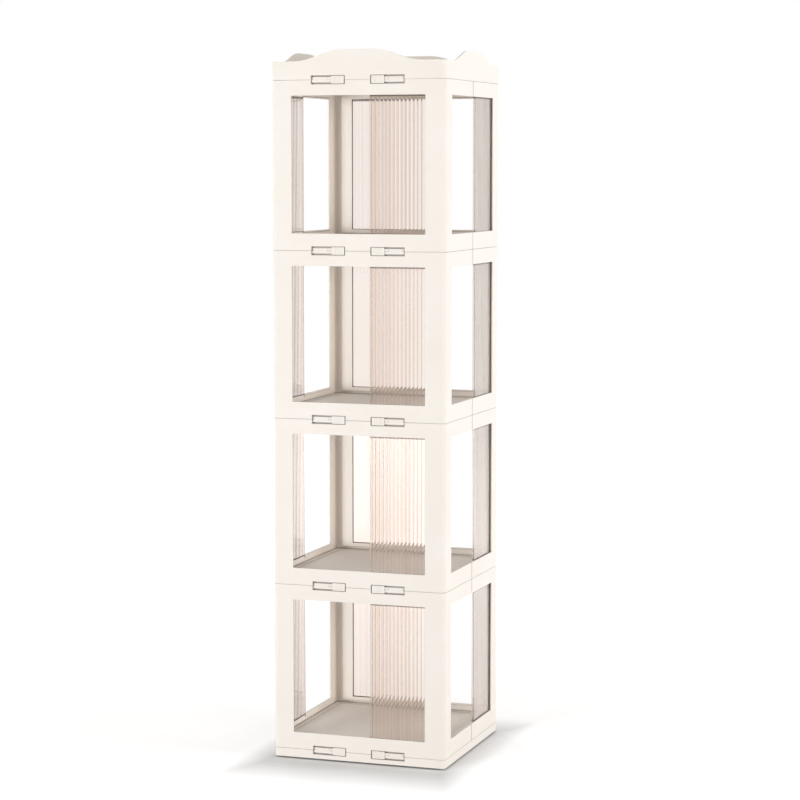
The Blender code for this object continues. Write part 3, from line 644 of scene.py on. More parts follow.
def wall_with_windows(shape):
    """The thin wall of a half shell, with rounded windows, recesses and edges."""
    wall = half_ring("wall", HALF, CORNER_RADIUS, INNER_HALF, INNER_RADIUS, SHELL_BOTTOM, SHELL_TOP)
    window = boxes("window", [face_box((-WINDOW_HALF, WINDOW_HALF), (-OVERRUN, WALL + OVERRUN),
                                       (WINDOW_BOTTOM, WINDOW_TOP))])
    windows = copies(window, [quarter_turn(quarter) for quarter in (0, 1, 3)])
    wall = carved("wall", wall, [cut(windows), recess_cut((0, STOREY_PITCH), (0,)), side_seam_cut(shape)])
    bm = opened(wall)
    round_edges(bm, shape.window_round, WINDOW_STEPS, lambda edge: through_wall(edge, WALL)
                and near(place_along(edge), WINDOW_HALF))
    round_edges(bm, shape.recess_round, EDGE_STEPS, is_recess_corner)
    round_edges(bm, shape.edge_round, EDGE_STEPS, on_skin)
    return finished(bm, "wall")


def flange(start, end, shape):
    """Flange round the inside of a half shell's edge."""
    inner = INNER_HALF - FLANGE_WIDTH
    ring = half_ring("flange", INNER_HALF + BITE, INNER_RADIUS + BITE, inner, INNER_RADIUS, start, end)
    return rounded(ring, shape.inner_round, INNER_EDGE_STEPS,
                   lambda edge: near(edge.verts[0].co.z, edge.verts[1].co.z)
                   and on_skin(edge, inner, INNER_RADIUS))


def panel_guides(shape):
    """Three-sided guides behind the front face and the left wing, which hold the panels' edges."""
    block = boxes("guide", [face_box((GUIDE_START, GUIDE_SIDE + GUIDE_WALL), (WALL - BITE, GUIDE_BACK),
                                     (GUIDE_FLOOR - GUIDE_WALL, GUIDE_ROOF + GUIDE_WALL))])
    cavity = boxes("cavity", [face_box((GUIDE_START - OVERRUN, GUIDE_SIDE),
                                       (WALL - BITE - OVERRUN, PANEL_BACK + GAP),
                                       (GUIDE_FLOOR, GUIDE_ROOF))])
    view = boxes("view", [face_box((GUIDE_START - OVERRUN, WINDOW_HALF + shape.guide_reveal),
                                   (0, GUIDE_BACK + OVERRUN),
                                   (PANEL_BOTTOM + GUIDE_COVER, PANEL_TOP - GUIDE_COVER))])
    guide = carved("guide", block, [cut(cavity), cut(view)])
    return copies(guide, (quarter_turn(0), quarter_turn(3)))


def rail_lips(shape):
    """Turned-in lips along the rails wherever no panel runs."""
    rows = ((WINDOW_BOTTOM - LIP_THICKNESS, WINDOW_BOTTOM), (WINDOW_TOP, WINDOW_TOP + LIP_THICKNESS))
    depth = (WALL - BITE, LIP_DEPTH)
    end = PANEL_FREE_EDGE - GAP
    spans = ((-WINDOW_HALF - OVERRUN, end, 0), (-WINDOW_HALF - OVERRUN, -SEAM_GAP / 2, 1),
             (SEAM_GAP / 2, end, 3))
    steps = []
    for low, high, turn in spans:
        lips = boxes("lips", [face_box((low, high), depth, row) for row in rows], shape.inner_round)
        steps.append(add(copies(lips, [quarter_turn(turn)])))
    return steps


def tongues(shape):
    """Tongues at the end of the right wing, and the pockets in the left wing that catch their barbs."""
    arm_depth = (WALL + GAP, WALL + GAP + TONGUE_THICKNESS)
    barb = (TONGUE_REACH - BARB_SETBACK - BARB_LENGTH, TONGUE_REACH - BARB_SETBACK)
    barb_front = arm_depth[0] - BARB_HEIGHT
    roots, arms, barbs, pockets = [], [], [], []
    for level in TONGUE_LEVELS:
        height = (level, level + TONGUE_HEIGHT)
        barb_height = (level + BARB_MARGIN, level + TONGUE_HEIGHT - BARB_MARGIN)
        roots.append(face_box((BITE - TONGUE_ROOT, -GAP - SEAM_GAP), (WALL - BITE, WALL + GAP + BITE),
                              (height[0] + BITE, height[1] - BITE)))
        arms.append(face_box((-TONGUE_ROOT, TONGUE_REACH), arm_depth, height))
        barbs.append(face_box(barb, (barb_front, arm_depth[0] + BITE), barb_height))
        pockets.append(face_box((barb[0] - GAP, barb[1] + GAP), (barb_front - GAP, WALL + OVERRUN / 2),
                                (barb_height[0] - GAP, barb_height[1] + GAP)))
    steps = [add(copies(boxes("tongue", group, rounding), [quarter_turn(1)]))
             for group, rounding in ((arms, shape.inner_round), (roots, 0.0), (barbs, 0.0))]
    return steps + [cut(copies(boxes("pocket", pockets), [quarter_turn(3)]))]


def shell_mesh(shape):
    """Half shell of one storey, in the place of the front one, with its bottom seam at height 0."""
    housing = housings(((SHELL_BOTTOM, HOUSING_HALF), (STOREY_PITCH - HOUSING_HALF, SHELL_TOP)), (0,))
    places = ((-PEG_PLACE, -PEG_PLACE), (PEG_PLACE, -PEG_PLACE))
    holes = posts("holes", PEG_RADIUS + PEG_CLEARANCE, SHELL_BOTTOM - OVERRUN,
                  SHELL_BOTTOM + FLANGE_THICKNESS + OVERRUN, places)
    pegs = posts("pegs", PEG_RADIUS, SHELL_TOP - FLANGE_THICKNESS / 2,
                 STOREY_PITCH + FLANGE_THICKNESS, places, rounding=shape.inner_round)
    steps = [add(flange(SHELL_BOTTOM, SHELL_BOTTOM + FLANGE_THICKNESS, shape)),
             add(flange(SHELL_TOP - FLANGE_THICKNESS, SHELL_TOP, shape)),
             add(housing), add(panel_guides(shape))]
    steps += rail_lips(shape) + tongues(shape)
    steps += [groove_cut((0, STOREY_PITCH), (0,)), end_groove_cut(shape, (0, STOREY_PITCH), (0,)),
              notch_cut((0,), (0,)),
              tab_union((STOREY_PITCH,), (0,)), cut(holes), add(pegs)]
    return carved("half_shell", wall_with_windows(shape), steps)


# Reeded panels

def panel_mesh(shape):
    """Reeded panel in the place of the front one, with its thick free edge near the middle."""
    front = -HALF + PANEL_DEPTH
    back = -HALF + PANEL_BACK
    bead_back = front + BEAD_THICKNESS
    valley = front + REED_SETBACK
    peak = valley - shape.reed_depth
    count = int((WINDOW_HALF + REED_MARGIN - BEAD_END) / REED_PITCH)
    radius = (REED_PITCH ** 2 / 4 + shape.reed_depth ** 2) / (2 * shape.reed_depth)
    sweep = 2 * math.asin(REED_PITCH / 2 / radius)
    bm = bmesh.new()
    last = bm.verts.new((BEAD_END, valley, PANEL_BOTTOM))
    rest = [(BEAD_END, front), (PANEL_FREE_EDGE, front), (PANEL_FREE_EDGE, bead_back),
            (BEAD_END, bead_back), (BEAD_END, back), (PANEL_OUTER_EDGE, back), (PANEL_OUTER_EDGE, valley)]
    chain = [last] + [bm.verts.new((x, y, PANEL_BOTTOM)) for x, y in rest]
    for reed in range(count):
        centre = (BEAD_END + (reed + 0.5) * REED_PITCH, peak + radius, PANEL_BOTTOM)
        arc = bmesh.ops.spin(bm, geom=[last], cent=centre, axis=(0, 0, 1), angle=sweep, steps=REED_STEPS)
        last = next(item for item in arc["geom_last"] if isinstance(item, bmesh.types.BMVert))
    chain.append(last)
    for start, end in zip(chain, chain[1:]):
        bm.edges.new((start, end))
    face = bmesh.ops.edgeloop_fill(bm, edges=bm.edges[:])["faces"][0]
    grown = bmesh.ops.extrude_face_region(bm, geom=[face])
    moved = [item for item in grown["geom"] if isinstance(item, bmesh.types.BMVert)]
    bmesh.ops.translate(bm, verts=moved, vec=(0, 0, PANEL_TOP - PANEL_BOTTOM))
    bmesh.ops.recalc_face_normals(bm, faces=bm.faces)
    round_edges(bm, BEAD_ROUND, EDGE_STEPS,
                lambda edge: not near(edge.verts[0].co.z, edge.verts[1].co.z)
                and (near(edge.verts[0].co.x, PANEL_FREE_EDGE) or (
                    near(edge.verts[0].co.x, BEAD_END) and near(edge.verts[0].co.y, bead_back))))
    return finished(bm, "reeded_panel")


# Shelf boards and trays

def border_groove(half, radius):
    """Cutter for a groove in a board's top that follows its outline."""
    bottom = BOARD_TOP - BORDER_GROOVE_DEPTH
    outer = rounded_slab("groove", half, radius, bottom, BOARD_TOP + OVERRUN)
    inner = rounded_slab("island", half - BORDER_GROOVE_WIDTH, radius - BORDER_GROOVE_WIDTH / 2,
                         bottom - OVERRUN, BOARD_TOP + 2 * OVERRUN)
    return cut(carved("groove", outer, [cut(inner)]))


def rib_slots():
    """Slots in a hollow's cutter, which leave two crossing pairs of ribs under a plate."""
    low = BOARD_UNDERSIDE - RIB_HEIGHT
    high = BOARD_UNDERSIDE + OVERRUN
    pair = boxes("ribs", [((-HALF, side * RIB_OFFSET - RIB_THICKNESS / 2, low),
                           (HALF, side * RIB_OFFSET + RIB_THICKNESS / 2, high)) for side in (-1, 1)])
    return [cut(copies(pair, [quarter_turn(quarter)])) for quarter in (0, 1)]


def board_mesh(shape):
    """Shelf board with a skirt and crossing ribs under it, its seam at height 0."""
    half = INNER_HALF - BOARD_EDGE_GAP
    plate = rounded_slab("plate", half, INNER_RADIUS, BOARD_UNDERSIDE, BOARD_TOP)
    plate = rounded(plate, shape.edge_round, INNER_EDGE_STEPS,
                    lambda edge: near(edge.verts[0].co.z, BOARD_TOP)
                    and on_skin(edge, half, INNER_RADIUS))
    groove = border_groove(half - shape.groove_inset, INNER_RADIUS)
    outer = HALF - SKIRT_SETBACK
    inner = outer - SKIRT_THICKNESS
    foot = SHELL_BOTTOM + FLANGE_THICKNESS + GAP
    skirt = boxes("skirt", [((-outer, -outer, foot), (outer, outer, BOARD_UNDERSIDE + BITE))])
    below = boxes("below", [((-inner, -inner, foot - OVERRUN), (inner, inner, BOARD_UNDERSIDE))])
    hollow = carved("hollow", below, rib_slots())
    return carved("shelf_board", plate, [add(skirt), cut(hollow), groove])


def arch_outline():
    """Outline of the air above one side of the fence, as distance along it and height."""
    rise = TRAY_PEAK_HEIGHT - TRAY_CORNER_HEIGHT
    slope = []
    for step in range(ARCH_STEPS + 1):
        share = step / ARCH_STEPS
        slope.append((ARCH_TOP_HALF + (ARCH_FOOT_HALF - ARCH_TOP_HALF) * share,
                      TRAY_CORNER_HEIGHT + rise * (1 + math.cos(math.pi * share)) / 2))
    end = HALF + OVERRUN
    right = slope + [(end, TRAY_CORNER_HEIGHT), (end, TRAY_PEAK_HEIGHT + OVERRUN)]
    return [(-along, height) for along, height in right[::-1]] + right


def is_tray_rim(edge):
    """True for a crease along the top of the fence, outside or inside."""
    return (edge.calc_face_angle(0) > CREASE
            and any(face.normal.z > FACING_UP for face in edge.link_faces)
            and all(vert.co.z > TRAY_CORNER_HEIGHT - TINY for vert in edge.verts)
            and (on_skin(edge) or on_skin(edge, INNER_HALF, INNER_RADIUS)))


def top_tray_mesh(shape):
    """Top tray with its seam at height 0: floor, fence with four arches, and corner bosses."""
    block = rounded_slab("tray", HALF, CORNER_RADIUS, SHELL_BOTTOM, TRAY_PEAK_HEIGHT)
    above = rounded_slab("above", INNER_HALF, INNER_RADIUS, BOARD_TOP, TRAY_PEAK_HEIGHT + OVERRUN)
    upright = Matrix.Rotation(QUARTER, 4, "X")
    bm = prism(arch_outline(), INNER_HALF - CORNER_RADIUS, HALF + OVERRUN)
    bmesh.ops.transform(bm, matrix=upright, verts=bm.verts)
    arch = finished(bm, "arch")
    arches = [cut(copies(arch, [quarter_turn(side)])) for side in range(4)]
    tray = carved("tray", block, [cut(above)] + arches + [recess_cut((0,), (0, 2))])
    bm = opened(tray)
    round_edges(bm, shape.recess_round, EDGE_STEPS, is_recess_corner)
    round_edges(bm, shape.rim_round, EDGE_STEPS, is_tray_rim)
    round_edges(bm, shape.edge_round, EDGE_STEPS, lambda edge: on_skin(edge)
                and all(vert.co.z < TRAY_CORNER_HEIGHT / 2 for vert in edge.verts))
    tray = finished(bm, "tray")
    below = rounded_slab("below", INNER_HALF, INNER_RADIUS, -OVERRUN, BOARD_UNDERSIDE)
    boss_inner = INNER_HALF - TRAY_BOSS
    boss = boxes("boss", [((boss_inner, boss_inner, -2 * OVERRUN), (HALF, HALF, BOARD_UNDERSIDE + OVERRUN))])
    bosses = copies(boss, [quarter_turn(corner) for corner in range(4)])
    blocks = housings(((-2 * OVERRUN, HOUSING_HALF),), (0, 2))
    hollow = carved("hollow", below, [cut(bosses), cut(blocks)] + rib_slots())
    holes = posts("holes", PEG_RADIUS + PEG_CLEARANCE, -OVERRUN, 2 * FLANGE_THICKNESS, corner_places())
    return carved("top_tray", tray, [cut(hollow), groove_cut((0,), (0, 2)),
                                     end_groove_cut(shape, (0,), (0, 2)), notch_cut((0,), (0, 2)),
                                     cut(holes)])


def base_tray_mesh(shape):
    """Base tray: a deck with a skirt down to the floor gap, in world heights."""
    block = rounded_slab("base", HALF, CORNER_RADIUS, FLOOR_GAP, DECK_TOP)
    base = carved("base", block, [recess_cut((BASE_HEIGHT,), (0, 2))])
    bm = opened(base)
    round_edges(bm, shape.recess_round, EDGE_STEPS, is_recess_corner)
    round_edges(bm, shape.edge_round, EDGE_STEPS, on_skin)
    base = finished(bm, "base")
    below = rounded_slab("below", INNER_HALF, INNER_RADIUS, FLOOR_GAP - OVERRUN, DECK_BOTTOM)
    blocks = housings(((BASE_HEIGHT - HOUSING_HALF, DECK_BOTTOM + OVERRUN),), (0, 2))
    hollow = carved("hollow", below, [cut(blocks)])
    pegs = posts("pegs", PEG_RADIUS, DECK_BOTTOM + DECK_THICKNESS / 2, BASE_HEIGHT + FLANGE_THICKNESS,
                 corner_places(), rounding=shape.inner_round)
    bore = posts("bore", BOLT_HOLE, DECK_BOTTOM - OVERRUN, DECK_TOP + OVERRUN)
    return carved("base_tray", base, [cut(hollow), groove_cut((BASE_HEIGHT,), (0, 2)),
                                      end_groove_cut(shape, (BASE_HEIGHT,), (0, 2)),
                                      tab_union((BASE_HEIGHT,), (0, 2)), add(pegs), cut(bore)])


# Latch sliders

def slider_mesh(shape):
    """Latch slider round its own middle on the seam, facing -Y: a scalloped plate with two hooks."""
    plate_half = GROOVE_HALF - shape.slider_play
    leg_outer = plate_half - TAB_SETBACK
    leg_inner = BAR_HALF + GAP
    hook_inner = WEB_HALF + GAP
    face_back = RECESS_DEPTH - GAP
    hook_front = BAR_BACK + GAP
    hook_back = hook_front + HOOK_THICKNESS
    half_length = SLIDER_LENGTH / 2
    face = SLIDER_INSET + shape.slider_play / SLIDER_SINK_DIVISOR
    grip_floor = face + GRIP_SINK + TAB_SETBACK
    upper = [(grip_floor, leg_outer), (hook_back, leg_outer), (hook_back, hook_inner),
             (hook_front, hook_inner), (hook_front, leg_inner), (face_back, leg_inner)]
    outline = upper + [(depth, -height) for depth, height in upper[::-1]]
    reach = half_length - SLOT_INSET
    across = Matrix(((0, 0, 1, 0), (1, 0, 0, 0), (0, 1, 0, 0), (0, 0, 0, 1)))
    bm = prism(outline, -reach, reach)
    bmesh.ops.transform(bm, matrix=across, verts=bm.verts)
    clasp = finished(bm, "clasp")
    plate_end = half_length - shape.slider_end_gap
    plate = boxes("plate", [((-plate_end, face, -plate_half), (plate_end, face_back, plate_half))],
                  SLIDER_ROUND)
    first = -(shape.grip_count - 1) / 2
    places = [((first + grip) * GRIP_PITCH, face + GRIP_SINK - GRIP_RADIUS)
              for grip in range(shape.grip_count)]
    grips = posts("grips", GRIP_RADIUS, -BAR_HALF, BAR_HALF, places)
    return carved("latch_slider", plate, [cut(grips), add(clasp)])


# Turntable

def race_profile(seat, face, groove):
    """Points of a raised race from the outside in: sides, lands and the round groove between them."""
    outer = RACE_CIRCLE + RACE_HALF_WIDTH
    inner = RACE_CIRCLE - RACE_HALF_WIDTH
    half = RACE_HALF_WIDTH - RACE_LAND
    dip = [(RACE_CIRCLE + half * math.cos(angle), face + groove * math.sin(angle))
           for angle in (math.pi * step / RACE_STEPS for step in range(RACE_STEPS + 1))]
    return [(outer, seat), (outer, face)] + dip + [(inner, face), (inner, seat)]


def floor_plate_mesh():
    """Round floor plate with a chamfered edge and the lower ball race on top."""
    profile = [(BOLT_HOLE, PLATE_BOTTOM), (PLATE_RADIUS - PLATE_CHAMFER, PLATE_BOTTOM),
               (PLATE_RADIUS, PLATE_BOTTOM + PLATE_CHAMFER), (PLATE_RADIUS, PLATE_TOP - PLATE_CHAMFER),
               (PLATE_RADIUS - PLATE_CHAMFER, PLATE_TOP)]
    profile += race_profile(PLATE_TOP, LOWER_RACE_TOP, -RACE_GROOVE_DEPTH)
    profile += [(BOLT_HOLE, PLATE_TOP)]
    return turned("floor_plate", profile, WIDE_ROUND_STEPS)


def upper_race_mesh():
    """Ring under the base tray's deck with the upper ball race facing down."""
    profile = [(BOLT_HOLE, UPPER_RACE_TOP), (UPPER_RACE_RADIUS, UPPER_RACE_TOP),
               (UPPER_RACE_RADIUS, UPPER_RACE_SEAT)]
    profile += race_profile(UPPER_RACE_SEAT, UPPER_RACE_FACE, RACE_GROOVE_DEPTH)
    profile += [(BOLT_HOLE, UPPER_RACE_SEAT)]
    return turned("upper_race", profile, WIDE_ROUND_STEPS)


def ball_cage_mesh():
    """Flat ring with round steel balls held in it at even angles."""
    low = BALL_CENTRE - CAGE_THICKNESS / 2
    high = BALL_CENTRE + CAGE_THICKNESS / 2
    inner = RACE_CIRCLE - CAGE_HALF_WIDTH
    outer = RACE_CIRCLE + CAGE_HALF_WIDTH
    ring = turned("cage", [(inner, low), (outer, low), (outer, high), (inner, high)], WIDE_ROUND_STEPS)
    bm = bmesh.new()
    for ball in range(BALL_COUNT):
        angle = (ball + 1 / 2) * 2 * math.pi / BALL_COUNT
        centre = (RACE_CIRCLE * math.cos(angle), RACE_CIRCLE * math.sin(angle), BALL_CENTRE)
        bmesh.ops.create_uvsphere(bm, u_segments=ROUND_STEPS, v_segments=ROUND_STEPS // 2, radius=BALL_RADIUS,
                                  matrix=Matrix.Translation(centre))
    return carved("ball_cage", ring, [add(finished(bm, "balls"))])


def bolt_mesh():
    """Pivot bolt: a flat chamfered head under the floor plate, and a shank up through the deck."""
    head_top = BOLT_END + BOLT_HEAD_THICKNESS
    shank_top = DECK_TOP + GAP + WASHER_THICKNESS + GAP + NUT_HEIGHT + BOLT_END
    profile = [(0, shank_top), (BOLT_RADIUS - BOLT_CHAMFER, shank_top),
               (BOLT_RADIUS, shank_top - BOLT_CHAMFER), (BOLT_RADIUS, head_top),
               (BOLT_HEAD_RADIUS, head_top), (BOLT_HEAD_RADIUS, BOLT_END + BOLT_CHAMFER),
               (BOLT_HEAD_RADIUS - BOLT_CHAMFER, BOLT_END), (0, BOLT_END)]
    return turned("pivot_bolt", profile, ROUND_STEPS * 2, closed=False)


def washer_mesh():
    """Flat washer with broken edges, on the deck."""
    low = DECK_TOP + GAP
    high = low + WASHER_THICKNESS
    profile = [(BOLT_HOLE, low), (WASHER_RADIUS - WASHER_CHAMFER, low),
               (WASHER_RADIUS, low + WASHER_CHAMFER), (WASHER_RADIUS, high - WASHER_CHAMFER),
               (WASHER_RADIUS - WASHER_CHAMFER, high), (BOLT_HOLE, high)]
    return turned("washer", profile, ROUND_STEPS * 2)


def nut_mesh():
    """Hexagon lock nut with a round collar, its corners turned off to a cone."""
    low = DECK_TOP + GAP + WASHER_THICKNESS + GAP
    high = low + NUT_HEIGHT
    radius = NUT_ACROSS_CORNERS / 2
    outside = radius + NUT_CONE_OUTSIDE
    hexagon = posts("nut", radius, low, high, steps=6)
    cone = turned("cone", [(0, low - OVERRUN), (outside, low - OVERRUN), (outside, high - NUT_CONE_START),
                           (radius - NUT_COLLAR_INSET, high - NUT_COLLAR_HEIGHT),
                           (radius - NUT_TOP_INSET, high), (0, high)],
                  ROUND_STEPS * 2, closed=False)
    bore = posts("bore", BOLT_HOLE, low - OVERRUN, high + OVERRUN, steps=ROUND_STEPS * 2)
    return carved("lock_nut", hexagon, [("INTERSECT", cone), cut(bore)])


# Finishes

def place_node(tree, kind, inputs=(), **settings):
    """Add a node, with its settings, and its inputs as values or as sockets that feed them."""
    node = tree.nodes.new(kind)
    for name, value in settings.items():
        setattr(node, name, value)
    for key, value in dict(inputs).items():
        if isinstance(value, bpy.types.NodeSocket):
            tree.links.new(value, node.inputs[key])
        else:
            node.inputs[key].default_value = value
    return node


def number(tree, operation, first, second, clamp=False):
    """A Math node's result."""
    return place_node(tree, "ShaderNodeMath", {0: first, 1: second},
                      operation=operation, use_clamp=clamp).outputs[0]


def scaled(tree, value, low, high, new_low, new_high):
    """A Map Range node's result."""
    return place_node(tree, "ShaderNodeMapRange", {"Value": value, "From Min": low, "From Max": high,
                                                   "To Min": new_low, "To Max": new_high}).outputs[0]


def blended(tree, share, first, second):
    """The colour between two colours."""
    node = place_node(tree, "ShaderNodeMix", {0: share}, data_type="RGBA")
    for key, value in ((6, first), (7, second)):
        if isinstance(value, bpy.types.NodeSocket):
            tree.links.new(value, node.inputs[key])
        else:
            node.inputs[key].default_value = (*value[:3], 1.0)
    return node.outputs[2]


def toned(colour, red, green, blue):
    """A colour with each part scaled, and never brighter than white."""
    return tuple(min(part * share, 1.0) for part, share in zip(colour, (red, green, blue)))


def effect_group(name, inputs, outputs):
    """An empty node group with its sockets, and its input and output nodes."""
    group = bpy.data.node_groups.new(name, "ShaderNodeTree")
    kinds = {"colour": "NodeSocketColor", "number": "NodeSocketFloat", "vector": "NodeSocketVector"}
    for label, kind in inputs:
        group.interface.new_socket(name=label, in_out="INPUT", socket_type=kinds[kind])
    for label, kind in outputs:
        group.interface.new_socket(name=label, in_out="OUTPUT", socket_type=kinds[kind])
    return group, group.nodes.new("NodeGroupInput").outputs, group.nodes.new("NodeGroupOutput").inputs


def moulded_group():
    """Slow patches of tone, a changing gloss and a fine grain, as moulded plastic has them."""
    group, given, made = effect_group(
        "moulded_surface",
        [("Place", "vector"), ("Colour", "colour"), ("Patch Colour", "colour"), ("Patch Share", "number"),
         ("Roughness", "number"), ("Roughness Swing", "number"), ("Grain Scale", "number")],
        [("Colour", "colour"), ("Roughness", "number"), ("Height", "number")])
    patches = place_node(group, "ShaderNodeTexNoise", {"Vector": given["Place"], "Scale": 7.0,
                                                       "Detail": 3.0, "Roughness": 0.55})
    share = number(group, "MULTIPLY", scaled(group, patches.outputs[0], 0.35, 0.7, 0.0, 1.0),
                   given["Patch Share"])
    group.links.new(blended(group, share, given["Colour"], given["Patch Colour"]), made["Colour"])
    handled = place_node(group, "ShaderNodeTexNoise", {"Vector": given["Place"], "Scale": 31.0,
                                                       "Detail": 4.0, "Roughness": 0.6})
    swing = number(group, "MULTIPLY", scaled(group, handled.outputs[0], 0.3, 0.7, -1.0, 1.0),
                   given["Roughness Swing"])
    group.links.new(number(group, "ADD", given["Roughness"], swing, clamp=True), made["Roughness"])
    grain = place_node(group, "ShaderNodeTexNoise", {"Vector": given["Place"], "Scale": given["Grain Scale"],
                                                     "Detail": 2.0, "Roughness": 0.5})
    group.links.new(grain.outputs[0], made["Height"])
    return group


def edge_group():
    """A mask that is 1 along rounded edges and 0 on flats."""
    group, given, made = effect_group("edge_mask", [("Radius", "number"), ("Full", "number")],
                                      [("Mask", "number")])
    soft = place_node(group, "ShaderNodeBevel", {"Radius": given["Radius"]}, samples=4)
    plain = place_node(group, "ShaderNodeNewGeometry")
    turn = place_node(group, "ShaderNodeVectorMath", {0: soft.outputs[0], 1: plain.outputs["Normal"]},
                      operation="DOT_PRODUCT").outputs["Value"]
    group.links.new(scaled(group, turn, 1.0, given["Full"], 0.0, 1.0), made["Mask"])
    return group


def crevice_shade_group():
    """A mask that is 1 deep in seams and gaps, where little light reaches, for painted shade."""
    group, given, made = effect_group(
        "crevice_shade_mask", [("Reach", "number"), ("Start", "number"), ("Full", "number")], [("Mask", "number")])
    air = place_node(group, "ShaderNodeAmbientOcclusion", {"Distance": given["Reach"]}, samples=6)
    group.links.new(scaled(group, air.outputs["AO"], given["Start"], given["Full"], 0.0, 1.0),
                    made["Mask"])
    return group


def dust_group():
    """Dust that settles in patches on what faces up."""
    group, given, made = effect_group(
        "settled_dust",
        [("Place", "vector"), ("Colour", "colour"), ("Roughness", "number"), ("Dust Colour", "colour"),
         ("Amount", "number")],
        [("Colour", "colour"), ("Roughness", "number")])
    up = place_node(group, "ShaderNodeSeparateXYZ",
                    {0: place_node(group, "ShaderNodeNewGeometry").outputs["Normal"]}).outputs["Z"]
    drift = place_node(group, "ShaderNodeTexNoise", {"Vector": given["Place"], "Scale": 18.0,
                                                     "Detail": 5.0, "Roughness": 0.65}).outputs[0]
    share = number(group, "MULTIPLY", scaled(group, up, 0.55, 0.95, 0.0, 1.0),
                   scaled(group, drift, 0.35, 0.7, 0.25, 1.0))
    share = number(group, "MULTIPLY", share, given["Amount"])
    group.links.new(blended(group, share, given["Colour"], given["Dust Colour"]), made["Colour"])
    rough = number(group, "MULTIPLY", share, 0.5)
    group.links.new(number(group, "ADD", given["Roughness"], rough, clamp=True), made["Roughness"])
    return group


def drawn_group():
    """Upright streaks of changing thickness, as a drawn plastic sheet has them."""
    group, given, made = effect_group(
        "drawn_streaks",
        [("Place", "vector"), ("Colour", "colour"), ("Streak Colour", "colour"), ("Share", "number")],
        [("Colour", "colour")])
    stretched = place_node(group, "ShaderNodeMapping", {"Vector": given["Place"], "Scale": (95.0, 95.0, 0.7)})
    streak = place_node(group, "ShaderNodeTexNoise", {"Vector": stretched.outputs[0], "Scale": 1.0,
                                                      "Detail": 3.0, "Roughness": 0.6}).outputs[0]
    share = number(group, "MULTIPLY", scaled(group, streak, 0.50, 0.68, 0.0, 1.0), given["Share"])
    group.links.new(blended(group, share, given["Colour"], given["Streak Colour"]), made["Colour"])
    return group


def effect(tree, builder, **inputs):
    """A node of a shared effect group, with its inputs as values or as sockets that feed them."""
    names = {moulded_group: "moulded_surface", edge_group: "edge_mask", crevice_shade_group: "crevice_shade_mask",
             dust_group: "settled_dust", drawn_group: "drawn_streaks"}
    group = bpy.data.node_groups.get(names[builder]) or builder()
    node = place_node(tree, "ShaderNodeGroup", node_tree=group)
    for key, value in inputs.items():
        socket = node.inputs[key.replace("_", " ").title()]
        if isinstance(value, bpy.types.NodeSocket):
            tree.links.new(value, socket)
        else:
            socket.default_value = (*value, 1.0) if socket.type == "RGBA" else value
    return node.outputs


def new_material(name):
    """A material with only its Principled shader and output, and where its patterns are placed."""
    material = bpy.data.materials.new(name)
    material.use_nodes = True
    tree = material.node_tree
    place = place_node(tree, "ShaderNodeTexCoord").outputs["Object"]
    return material, tree, tree.nodes["Principled BSDF"], place


def bumped(tree, height, distance, strength):
    """A normal from a height."""
    return place_node(tree, "ShaderNodeBump", {"Height": height, "Distance": distance,
                                               "Strength": strength}).outputs[0]


def ivory_material(colours):
    """Satin moulded plastic with a fine grain, slow tone patches, dust, paler edges and painted shade in
    seams and gaps.
    """
    material, tree, shader, place = new_material("ivory_plastic_finish")
    base = colours.ivory
    body = effect(tree, moulded_group, place=place, colour=base,
                  patch_colour=toned(base, 0.975, 0.965, 0.95), patch_share=0.8,
                  roughness=0.46, roughness_swing=0.05, grain_scale=1500.0)
    dusty = effect(tree, dust_group, place=place, colour=body["Colour"], roughness=body["Roughness"],
                   dust_colour=(0.70, 0.66, 0.61), amount=0.22)
    edge = effect(tree, edge_group, radius=0.0008, full=0.86)["Mask"]
    share = number(tree, "MULTIPLY", edge, 0.5)
    rubbed = blended(tree, share, dusty["Colour"], toned(base, 1.04, 1.05, 1.06))
    # Painted shade: the colour goes dark brown deep in seams, gaps and recesses, where little light reaches.
    crevice_shade = effect(tree, crevice_shade_group, reach=0.004, start=0.86, full=0.32)["Mask"]
    crevice_shade = number(tree, "MULTIPLY", crevice_shade, 0.95)
    tree.links.new(blended(tree, crevice_shade, rubbed, toned(base, 0.16, 0.152, 0.145)),
                   shader.inputs["Base Color"])
    gloss = number(tree, "SUBTRACT", dusty["Roughness"], number(tree, "MULTIPLY", edge, 0.08))
    tree.links.new(gloss, shader.inputs["Roughness"])
    tree.links.new(bumped(tree, body["Height"], distance=0.00004, strength=0.35), shader.inputs["Normal"])
    shader.inputs["Specular IOR Level"].default_value = 0.36
    return material


# How dark the painted shade on a panel under its upper rail is, and the heights in a storey where that sets
# in and fades
RAIL_SHADE = 0.9
RAIL_SHADE_START = (WINDOW_TOP - 0.0034, WINDOW_TOP - 0.0022)
RAIL_SHADE_END = (WINDOW_TOP + 0.001, WINDOW_TOP + 0.002)


